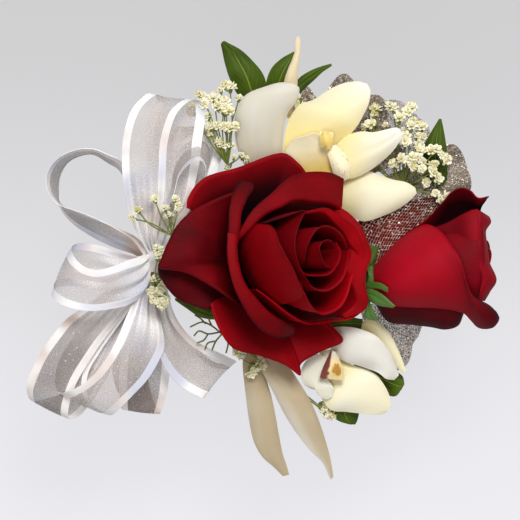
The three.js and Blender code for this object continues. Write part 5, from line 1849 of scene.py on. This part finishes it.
@dataclass
class Filler:
    """The sprigs of small double blossoms, with heads set at the tips of forked twigs."""

    head_radius: float = 1.65
    stalk_radius: float = 0.5
    twig_radius: float = 0.22
    clump_radius: float = 1.5  # from a twig's tip to the heads round it
    spread: float = 0.35  # how far the heads' sizes vary
    bare_height: float = 11.5  # of the bare twigs at the lower left
    seed: int = 11
    whorls: Rows = ((7, 80.0), (6, 50.0), (5, 20.0))  # how many petals, and their lean in degrees
    finish: Finish = BlossomFinish("filler blossom")

    def head(self) -> Patch:
        """One blossom: whorls of small petals, green at their feet, in a green cup."""
        petals = []
        for count, lean in self.whorls:
            for i in range(count):
                turn = (i + 0.35 * math.sin(5 * i + lean)) * math.tau / count + lean
                tilt = math.radians(lean + 17 * math.sin(4 * i + lean))
                petals.append(self.head_petal(turn, tilt, 1.0 + 0.22 * math.sin(7 * i + lean)))
        u = np.linspace(0, 1, 4)
        cup = tube(np.stack([0 * u, 0 * u, -0.9 + 1.2 * u], axis=-1), 0.22 + 0.34 * np.sin(u * 1.6), 6)
        return join([*petals, cup.mark("green", 1.0)])

    @staticmethod
    def head_petal(turn: float, lean: float, reach: float) -> Patch:
        """One small petal that leans out from the head's axis.

        Args:
            turn: Its angle round the axis.
            lean: Its lean from the axis.
            reach: Its length in head radii.

        Returns:
            The closed petal, marked green at its foot.
        """
        u, v = np.meshgrid(np.linspace(0, 1, 4), np.linspace(-1, 1, 3), indexing="ij")
        out = np.sin(lean) * reach * u
        rise = np.cos(lean) * reach * u + 0.18 * (1 - v**2) - 0.12 * u**3
        side = 0.36 * reach * np.sin(0.5 + u * 2.0) * v
        x = out * math.cos(turn) - side * math.sin(turn)
        y = out * math.sin(turn) + side * math.cos(turn)
        petal = thick_sheet(np.stack([x, y, rise], axis=-1), 0.09)
        return petal.mark("green", 0.75 * np.tile((1 - u).ravel(), 2) ** 2)

    def heads(self, name: str, tips: Array, facing: Array, size: float) -> Piece:
        """Sets a head at each tip with a Geometry Nodes tree.

        Args:
            name: The object's name.
            tips: Where the heads sit.
            facing: The way each of them faces.
            size: Their size beside the others'.

        Returns:
            One object with all the heads.
        """
        pattern = make_object(f"{name}_pattern", self.head(), self.finish)
        base = wires_object(name, tips)
        ways = base.data.attributes.new("facing", "FLOAT_VECTOR", "POINT")
        ways.data.foreach_set("vector", facing.ravel())
        recipe = Recipe(f"{name} heads")
        radius = recipe.size("Head radius", self.head_radius * size)
        spread = recipe.size("Spread", self.spread)
        seed = recipe.size("Seed", self.seed, "NodeSocketInt")
        vector = {"data_type": "FLOAT_VECTOR"}
        way = recipe.node("GeometryNodeInputNamedAttribute", vector, {"Name": "facing"})
        upright = recipe.node("FunctionNodeAlignRotationToVector", {"axis": "Z"}, {"Vector": way})
        number = {"data_type": "FLOAT"}
        spin = recipe.node("FunctionNodeRandomValue", number, {2: 0.0, 3: math.tau, 8: seed}, 1)
        turn = recipe.node("FunctionNodeAxisAngleToRotation", None, {"Axis": (0.0, 0.0, 1.0), "Angle": spin})
        sockets = {"Rotation": upright, "Rotate By": turn}
        rotation = recipe.node("FunctionNodeRotateRotation", {"rotation_space": "LOCAL"}, sockets)
        low, high = radius * (1.0 - spread), radius * (1.0 + spread)
        scale = recipe.node("FunctionNodeRandomValue", number, {2: low, 3: high, 8: seed}, 1)
        shape = recipe.node("GeometryNodeObjectInfo", None, {"Object": pattern}, "Geometry")
        placed = recipe.set_out(recipe.geometry(), shape, Rotation=rotation, Scale=scale)
        made = recipe.run(base, placed, self.finish)
        bpy.data.objects.remove(pattern)
        return made

    def sprig(self, name: str, stalk: Rows, clumps: Rows, size: float) -> Piece:
        """Makes one sprig.

        Args:
            name: The object's name.
            stalk: The stem from the bundle to its fork.
            clumps: Photo column, photo row and height of each twig's tip, and how many heads it bears.
            size: The heads' size beside the others'.

        Returns:
            One object of twigs and heads.
        """
        rows = np.array(clumps, float)
        fork = np.array(stalk[-1], float)
        twigs = [tube(curve(stalk, 20), self.stalk_radius, 6)]
        heads, facing = [], []
        for i, tip in enumerate(VIEW.place(*rows.T[:3])):
            sway = np.array([math.sin(5.1 * i), math.cos(3.7 * i), 0.0]) * 0.9
            bend = fork + (tip - fork) * 0.55 + sway + [0, 0, 0.8]
            twigs.append(tube(curve([fork, bend, tip], 12), self.twig_radius, 5))
            for k in range(int(rows[i, 3])):
                angle = 2.4 * k + 1.7 * i
                aside = np.array([math.cos(angle), math.sin(angle), 0.5 * math.sin(3 * angle)])
                aside = aside * self.clump_radius * size * min(math.sqrt(k), 1.4)
                heads.append(tip + aside)
                facing.append(unit(unit(tip - bend) + [0, 0, 0.35] + 0.5 * aside))
        for route in BARE_TWIGS if name.endswith("lower") else ():
            column, row = np.array(route, float).T
            line = VIEW.place(column, row, self.bare_height + 0.8 * np.sin(column))
            twigs.append(tube(curve(line, 10), self.twig_radius * 1.2, 5))
        made = self.heads(name, np.array(heads), np.array(facing), size)
        stems = make_object(f"{name}_twigs", join(twigs).mark("green", 1.0), self.finish)
        with bpy.context.temp_override(active_object=made, selected_editable_objects=[made, stems]):
            bpy.ops.object.join()
        return made

    def build(self) -> None:
        """Makes the four sprigs and the small one between the bow and the rose."""
        for name, row in FILLER_SPRIGS.items():
            node = f"filler_sprig_{name}"
            settle(self.sprig(f"dressed_{node}", *row), Slot.BLOSSOM, node)
        settle(self.sprig("filler_sprig_by_bow", *EDGE_SPRIG), Slot.BLOSSOM)


# Net


@dataclass(frozen=True)
class NetSheet(Ribbed):
    """One gathered sheet of net, whose ribs run from its gathered foot to its cut edge."""

    strands: int
    folds: float = 6.0
    depth: float = 0.8
    cover: float = 0.7
    flakes: float = 1.5  # in a square millimetre
    strand_radius: float = 0.085

    def grid(self, rows: int = 60, columns: int = 96) -> Array:
        """Works out the sheet's surface.

        Args:
            rows: Points from the foot to the cut edge.
            columns: Points along the edge.

        Returns:
            Points by row and column.
        """
        foot, edge = self.edges(columns)
        u = np.linspace(0, 1, rows)[:, None]
        v = np.linspace(0, 1, columns)
        fold = self.depth * u * np.sin(math.tau * self.folds * v + 0.9 * np.sin(5 * v))
        grid = foot + (edge - foot) * u[..., None]
        grid[..., 2] += fold + self.depth * np.sin(math.pi * u)
        ahead = unit((edge - foot)[:, :2])
        grid[..., :2] += ahead * (0.35 * u**4 * np.sin(math.pi * self.folds * v))[..., None]
        return grid


NET_SHEETS = (
    NetSheet("upper", (
        (306, 150, 300, 97, 8, 11.5), (312, 150, 308, 88, 8, 12), (318, 150, 320, 101, 8, 12.5),
        (324, 151, 332, 82, 8, 13), (330, 152, 339, 75.5, 8, 13), (335, 154, 347, 75.5, 8, 13),
        (340, 156, 358, 86, 8, 12.5), (345, 158, 369, 93, 8, 12), (350, 160, 378, 95, 8, 11.5),
        (355, 163, 385, 104, 8, 11), (360, 166, 388, 120, 8, 10.5), (366, 170, 398, 140, 8, 10),
        (372, 174, 410, 160, 8, 9.5),
    ), 44, 6),
    NetSheet("right", (
        (382, 178, 430, 158, 9, 9), (386, 181, 443, 147, 9, 9.5), (391, 186, 455, 145, 9, 9.5),
        (396, 192, 464, 154, 9, 9), (400, 198, 468, 170, 9, 9), (404, 205, 470, 187, 9, 8.5),
        (406, 212, 464, 202, 9, 8),
    ), 19, 3),
    NetSheet("lower", (
        (358, 306, 384, 373, 7, 5.5), (366, 305, 398, 369, 7.5, 6), (375, 303, 408, 363, 8, 6.5),
        (384, 302, 412, 354, 8, 7), (392, 300, 413, 344, 8, 7), (400, 299, 418, 334, 8, 7),
        (408, 298, 423, 323, 8, 7),
    ), 17, 3, cover=0.4),
)
THIN_NET = NetSheet("thin", (
    (352, 163, 384, 101, 7.5, 9.5), (360, 165, 396, 101, 7.5, 9), (368, 168, 408, 105, 7.5, 9),
    (376, 171, 420, 117, 7.5, 8.5), (384, 174, 427, 127, 7.5, 8), (390, 177, 432, 140, 7.5, 8),
), 22, 3, cover=0.18, flakes=0.4)
OPEN_MESH = NetSheet("open", (
    (346, 212, 364, 288, 11, 19), (362, 210, 374, 274, 12, 19), (378, 206, 386, 258, 12.5, 18),
    (394, 201, 400, 244, 13, 17), (410, 194, 416, 234, 13, 17), (426, 186, 432, 221, 13, 17),
    (442, 178, 446, 208, 12, 16),
), 19, 1, 0.5, flakes=0.25, strand_radius=0.055)


@dataclass
class GlitterNet:
    """The gathered glitter net behind the flowers: a sheer ground, metallic strands and loose flakes."""

    thickness: float = 0.08
    flake_radius: float = 0.29
    flake_thickness: float = 0.05
    slant: float = 0.55  # how far the strands lean
    seed: int = 5
    strand_finish: Finish = GlitterFinish("net strand")
    # the flakes' white share paints their glints
    flake_finish: Finish = GlitterFinish(
        "glitter flake", linear(248, 242, 230), linear(76, 58, 36), grain=2400.0, metallic=0.2
    )

    def build(self) -> None:
        """Makes each sheet's ground, strands and flakes, and the open mesh by the half-open rose."""
        for net in NET_SHEETS:
            self.sheet(net, f"net_{net.name}")
        self.sheet(THIN_NET)
        grid = OPEN_MESH.grid()
        settle(self.strands(OPEN_MESH, grid), Slot.NET)
        settle(self.flakes(OPEN_MESH, grid), Slot.NET)

    def sheet(self, net: NetSheet, *nodes: str) -> None:
        """Makes a sheet's ground, strands and flakes.

        Args:
            net: The sheet.
            nodes: The solid that it replaces, if there is one.
        """
        grid = net.grid()
        veil = VeilFinish(f"net ground {net.cover}", net.cover)
        ground = make_object(f"dressed_net_{net.name}", thick_sheet(grid, self.thickness), veil)
        settle(ground, Slot.NET, *nodes)
        strands = settle(self.strands(net, grid), Slot.NET)
        flakes = settle(self.flakes(net, grid), Slot.NET)

    def strands(self, net: NetSheet, grid: Array) -> Piece:
        """Crossing strands that follow the sheet, made round by a Geometry Nodes tree.

        Args:
            net: The sheet.
            grid: Its surface.

        Returns:
            One object with all the strands.
        """
        points, edges = [], []
        slope = self.slant * grid.shape[0] / grid.shape[1]
        u = np.linspace(0.0, 1.0, 64)
        for slant in (-slope, slope):
            for i in range(net.strands * 2):
                v = -0.5 + 2 * (i + 0.5) / (net.strands * 2) + slant * (u - 0.5) * 2
                kept = (v >= 0) & (v <= 1)
                if kept.sum() < 2:
                    continue
                first = len(points)
                points.extend(on_grid(grid, u[kept], v[kept]))
                edges.extend((k, k + 1) for k in range(first, len(points) - 1))
        base = wires_object(f"net_{net.name}_strands", np.array(points), edges)
        recipe = Recipe(f"net {net.name} strands")
        radius = recipe.size("Strand radius", net.strand_radius * MM)
        sides = recipe.size("Sides", 3, "NodeSocketInt")
        line = recipe.node("GeometryNodeMeshToCurve", None, {"Mesh": recipe.geometry()})
        sockets = {"Resolution": sides, "Radius": radius}
        ring = recipe.node("GeometryNodeCurvePrimitiveCircle", {"mode": "RADIUS"}, sockets)
        sockets = {"Curve": line, "Profile Curve": ring, "Fill Caps": True}
        return recipe.run(base, recipe.node("GeometryNodeCurveToMesh", None, sockets), self.strand_finish)

    def flakes(self, net: NetSheet, grid: Array) -> Piece:
        """Six-sided flakes strewn over the sheet by a Geometry Nodes tree.

        Args:
            net: The sheet.
            grid: Its surface.

        Returns:
            One object with all the flakes.
        """
        rows, columns = grid.shape[:2]
        surface = Patch(grid.reshape(-1, 3), faces_up(rows, columns).tolist(), grid_places(rows, columns))
        base = make_object(f"net_{net.name}_flakes", surface, self.flake_finish)
        recipe = Recipe(f"net {net.name} flakes")
        density = recipe.size("Flakes in a square metre", net.flakes / MM**2)
        radius = recipe.size("Flake radius", self.flake_radius * MM)
        seed = recipe.size("Seed", self.seed, "NodeSocketInt")
        depth = recipe.size("Flake thickness", self.flake_thickness * MM)
        sockets = {"Mesh": recipe.geometry(), "Density": density, "Seed": seed}
        strewn = recipe.node("GeometryNodeDistributePointsOnFaces", {"distribute_method": "RANDOM"}, sockets)
        sockets = {"Vertices": 6, "Radius": radius, "Depth": depth}
        flake = recipe.node("GeometryNodeMeshCylinder", {"fill_type": "NGON"}, sockets)
        turns = {0: (-0.9, -0.9, 0.0), 1: (0.9, 0.9, math.tau), 8: seed}
        tilt = recipe.node("FunctionNodeRandomValue", {"data_type": "FLOAT_VECTOR"}, turns)
        return recipe.run(base, recipe.set_out(strewn, flake, Rotation=tilt), self.flake_finish)


# Wristlet


@dataclass
class Wristlet:
    """The elastic band, sewn round the ends of the keeper plate, and the taped stems on the plate."""

    band_width: float = 12.0
    band_thickness: float = 1.05
    web_middle: float = 23.9
    web_top: float = -7.8
    palm_top: float = -26.1
    palm_depth: float = 12.4
    ribs: int = 9
    rib_depth: float = 0.14
    bundle_radius: float = 3.4
    bow_end: float = -35.0
    rose_end: float = 29.0
    end_rounding: float = 2.6
    tape_pitch: float = 6.5
    stitch_length: float = 1.3
    stitch_radius: float = 0.16
    stitch_levels: tuple[float, float] = (-2.6, -6.2)
    tape: Finish = StreakedFinish(
        "crepe tape", linear(54, 68, 30), linear(104, 118, 60), (5.0, 240.0), 240.0,
        (0.8, 0.5, -0.25), (0.2, 0.5), (0.2, 0.9),
    )

    def half_path(self) -> Rows:
        """One side of the band's middle line: from its sewn tail round the end bar and down to the palm."""
        return (
            (22.66, -7.2), (22.66, -2.2), (22.0, -0.95), (20.4, -0.9), (19.62, -0.2), (19.62, 1.0),
            (20.3, 1.72), (23.0, 1.72), (self.web_middle, 0.9), (self.web_middle, -3.0),
            (self.web_middle, self.web_top), (self.web_middle, -14.0), (self.web_middle, -20.0),
            (self.web_middle, self.palm_top),
        )

    def band_line(self) -> Array:
        """The band's whole middle line across the wrist, as Y and Z."""
        side = self.half_path()
        angle = np.linspace(0, math.pi, 15)[1:-1]
        level = self.palm_top - self.palm_depth * np.sin(angle)
        palm = np.stack([self.web_middle * np.cos(angle), level], axis=-1)
        back = [(-y, z) for y, z in reversed(side)]
        return curve(np.vstack([side, palm, back]), 460)

    def band(self) -> Patch:
        """The ribbed webbing, swept along its line."""
        line = self.band_line()
        ahead = unit(np.gradient(line, axis=0))
        outward = np.stack([ahead[:, 1], -ahead[:, 0]], axis=-1)
        x = np.linspace(-1, 1, 55)
        rib = np.abs(np.cos(x * math.pi * self.ribs / 2)) * self.rib_depth
        height = self.band_thickness / 2 - self.rib_depth + rib
        height = height * np.sqrt(np.clip(1 - np.abs(x) ** 24, 0.05, 1))
        profile = np.vstack([np.stack([x, -height], axis=-1), np.stack([x, height], axis=-1)[::-1]])
        rings = np.zeros((len(line), len(profile), 3))
        rings[..., 0] = profile[:, 0] * self.band_width / 2
        rings[..., 1:] = line[:, None] + outward[:, None] * profile[None, :, 1:2]
        return ringed(rings)

    def bundle(self) -> Patch:
        """The stems under tape that is wound along them."""
        x = np.linspace(self.bow_end, self.rose_end, 220)[:, None]
        angle = around(40)
        phase = (x / self.tape_pitch + angle / math.tau) % 1.0
        lumps = 0.12 * np.sin(3 * angle + x * 0.11) + 0.06 * np.sin(7 * angle - x * 0.3)
        half = (self.rose_end - self.bow_end) / 2
        past = (np.abs(x - x.mean()) - half + 2.5) / self.end_rounding
        rounded = np.sqrt(np.clip(1 - np.clip(past, 0, 1) ** 2, 0.02, 1))
        reach = (self.bundle_radius - 0.3 + 0.22 * phase + lumps) * rounded
        y, z = reach * np.cos(angle), SPRAY_HEIGHT + reach * np.sin(angle)
        return ringed(np.stack([x + 0 * angle, y, z], axis=-1))

    def stitches(self) -> Piece:
        """Rows of stitches through the two sewn ends, set along lines by a Geometry Nodes tree."""
        reach = self.band_width / 2 - 1.0
        outside = self.web_middle + self.band_thickness / 2
        ends = [(end * outside, level) for end in (-1, 1) for level in self.stitch_levels]
        points = np.array([(x, *end) for end in ends for x in (-reach, reach)])
        base = wires_object("band_stitches", points, [(2 * i, 2 * i + 1) for i in range(len(ends))])
        recipe = Recipe("band stitches")
        length = recipe.size("Stitch length", self.stitch_length * MM)
        radius = recipe.size("Stitch radius", self.stitch_radius * MM)
        line = recipe.node("GeometryNodeMeshToCurve", None, {"Mesh": recipe.geometry()})
        sockets = {"Curve": line, "Length": length * 1.25}
        spots = recipe.node("GeometryNodeCurveToPoints", {"mode": "LENGTH"}, sockets)
        stitch = recipe.node("GeometryNodeMeshIcoSphere", None, {"Radius": 1.0, "Subdivisions": 2})
        placed = recipe.set_out(spots, stitch, Scale=recipe.vector(length * 0.5, radius, radius))
        return recipe.run(base, placed, ThreadFinish("sewing thread"))

    def build(self, nodes: dict[str, Piece]) -> None:
        """Makes the band, stitches and stems, and finishes the plate.

        Args:
            nodes: The part's own solids by name.
        """
        band = make_object("elastic_band", self.band(), ElasticFinish("elastic webbing"), 70.0)
        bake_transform(band)
        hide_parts("band_front_end", "band_back_end", "band_front_web", "band_back_web", "band_palm")
        LOG.info("%s: %d faces", band.name, len(band.data.polygons))
        settle(self.stitches(), Slot.ELASTIC)
        dress("stem_bundle", self.bundle(), self.tape, Slot.TAPE, 70.0)
        plate = nodes["keeper_plate"].data
        plate.materials.clear()
        plate.materials.append(SteelFinish("brushed plate").material())


# Studio


@dataclass
class Studio:
    """A plain pale floor, soft light from the top of the picture, and the camera above the wrist."""

    floor_height: float = -62.0  # clear of the band where it is stretched furthest
    floor_half: float = 2.4  # metres
    floor_grey: Colour = linear(228, 228, 230)
    far_grey: Colour = linear(201, 201, 202)
    near_grey: Colour = linear(241, 240, 245)
    shade_kept: float = 0.14
    key_power: float = 9.5
    fill_power: float = 3.2
    world_strength: float = 0.24
    sensor: float = 36.0

    @staticmethod
    def looked_at(graph: Graph) -> Wire:
        """1 for the rays that show the background: the camera's, and those in metal and glass."""
        kinds = ("Is Camera Ray", "Is Glossy Ray", "Is Transmission Ray")
        camera, glossy, clear = (graph.node("ShaderNodeLightPath", None, None, kind) for kind in kinds)
        return camera.larger(glossy).larger(clear)

    def floor(self) -> None:
        """The floor: its own soft shade under a plain tone that lights nothing."""
        mesh = bpy.data.meshes.new("floor")
        reach, level = self.floor_half, self.floor_height * MM
        signs = ((-1, -1), (1, -1), (1, 1), (-1, 1))
        corners = [(x * reach, y * reach, level) for x, y in signs]
        mesh.from_pydata(corners, [], [(0, 1, 2, 3)])
        paint = bpy.data.materials.new("pale floor")
        paint.use_nodes = True
        graph = Graph(paint.node_tree)
        shader = paint.node_tree.nodes["Principled BSDF"]
        place = graph.own_place()
        up = graph.node("ShaderNodeSeparateXYZ", None, {0: place}, 1)
        away = graph.node("ShaderNodeVectorMath", {"operation": "LENGTH"}, {0: place}, "Value")
        distant = away.step(0.3, 1.6)
        grey = graph.mix(up.step(0.1, -0.1), self.far_grey, self.near_grey)
        grey = graph.mix(distant, grey, self.near_grey)
        graph.feed(shader.inputs["Base Color"], self.floor_grey)
        graph.feed(shader.inputs["Roughness"], 0.9)
        glow = graph.node("ShaderNodeEmission", None, {"Color": grey, "Strength": 1.0})
        seen = self.looked_at(graph) * (1.0 - (1.0 - distant) * self.shade_kept)
        plain = Wire(graph, shader.outputs["BSDF"])
        both = graph.node("ShaderNodeMixShader", None, {0: seen, 1: plain, 2: glow})
        graph.feed(paint.node_tree.nodes["Material Output"].inputs["Surface"], both)
        mesh.materials.append(paint)
        link("floor", mesh)

    @staticmethod
    def lamp(name: str, place: Point, size: float, power: float) -> None:
        """Adds a soft square lamp that faces the flowers.

        Args:
            name: Its name.
            place: Where it stands, in metres.
            size: Its side, in metres.
            power: Its power in watts.
        """
        light = bpy.data.lights.new(name, "AREA")
        light.size = size
        light.energy = power
        made = link(name, light)
        made.location = place
        made.rotation_euler = (Vector((0, 0, 0.02)) - Vector(place)).to_track_quat("-Z", "Y").to_euler()

    def world(self) -> None:
        """An even pale surround, in the floor's grey where the camera looks past the floor."""
        world = bpy.data.worlds.new("surround")
        bpy.context.scene.world = world
        world.use_nodes = True
        graph = Graph(world.node_tree)
        seen = self.looked_at(graph)
        back = world.node_tree.nodes["Background"]
        graph.feed(back.inputs["Color"], graph.mix(seen, (1.0, 1.0, 1.0, 1.0), self.near_grey))
        graph.feed(back.inputs["Strength"], seen * (1 - self.world_strength) + self.world_strength)

    def camera(self) -> None:
        """The camera, straight above the photo's middle with its top towards +Y."""
        lens = bpy.data.cameras.new("camera")
        lens.sensor_width = self.sensor
        view_width = VIEW.mm_per_pixel * 2 * VIEW.middle_pixel
        lens.lens = self.sensor * VIEW.distance / view_width
        lens.clip_end = 20.0
        made = link("camera", lens)
        made.location = (VIEW.middle_x * MM, VIEW.middle_y * MM, (VIEW.plane_height + VIEW.distance) * MM)
        bpy.context.scene.camera = made

    def build(self) -> None:
        """Makes the floor, lamps, surround and camera."""
        bpy.context.scene.view_settings.view_transform = "Standard"
        self.floor()
        self.lamp("key", (0.14, 0.46, 1.0), 0.38, self.key_power)
        self.lamp("fill", (-0.2, -0.3, 1.1), 0.5, self.fill_power)
        self.world()
        self.camera()


def main() -> None:
    """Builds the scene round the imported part."""
    logging.basicConfig(level=logging.INFO, format="%(message)s")
    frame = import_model()
    OpenRose().build()
    HalfOpenRose().build()
    Orchid(
        "upper_orchid", (16.0, 28.0, 13.0), UPPER_TEPALS, UPPER_LIPS,
        LipFinish(
            "upper lip", linear(250, 238, 200), ochre=linear(243, 212, 122), gold=1.0, spot_size=0.5
        ),
        ((-1.5, 0.5, -3), (0.5, 3.5, 0), (2.4, 5.6, 4)), 12.0,
        {"left": SHADED_TEPAL, "narrow": BEIGE_TEPAL},
    ).build()
    Orchid(
        "lower_orchid", (18.6, -31.3, 9.0), LOWER_TEPALS, LOWER_LIPS,
        LipFinish("lower lip", pale=linear(228, 224, 206), spot=(0.66, 0.66), streak_reach=0.38),
        ((0, 0, 0), (1.2, 2.2, 3), (2.6, 3.4, 5)), 14.0,
        {name: SHADED_TEPAL for name in ("long_left", "long_right", "white")},
    ).build()
    Leaves().build()
    Bow().build()
    Filler().build()
    GlitterNet().build()
    Wristlet().build(frame["nodes"])
    Studio().build()


if __name__ == "__main__":
    main()
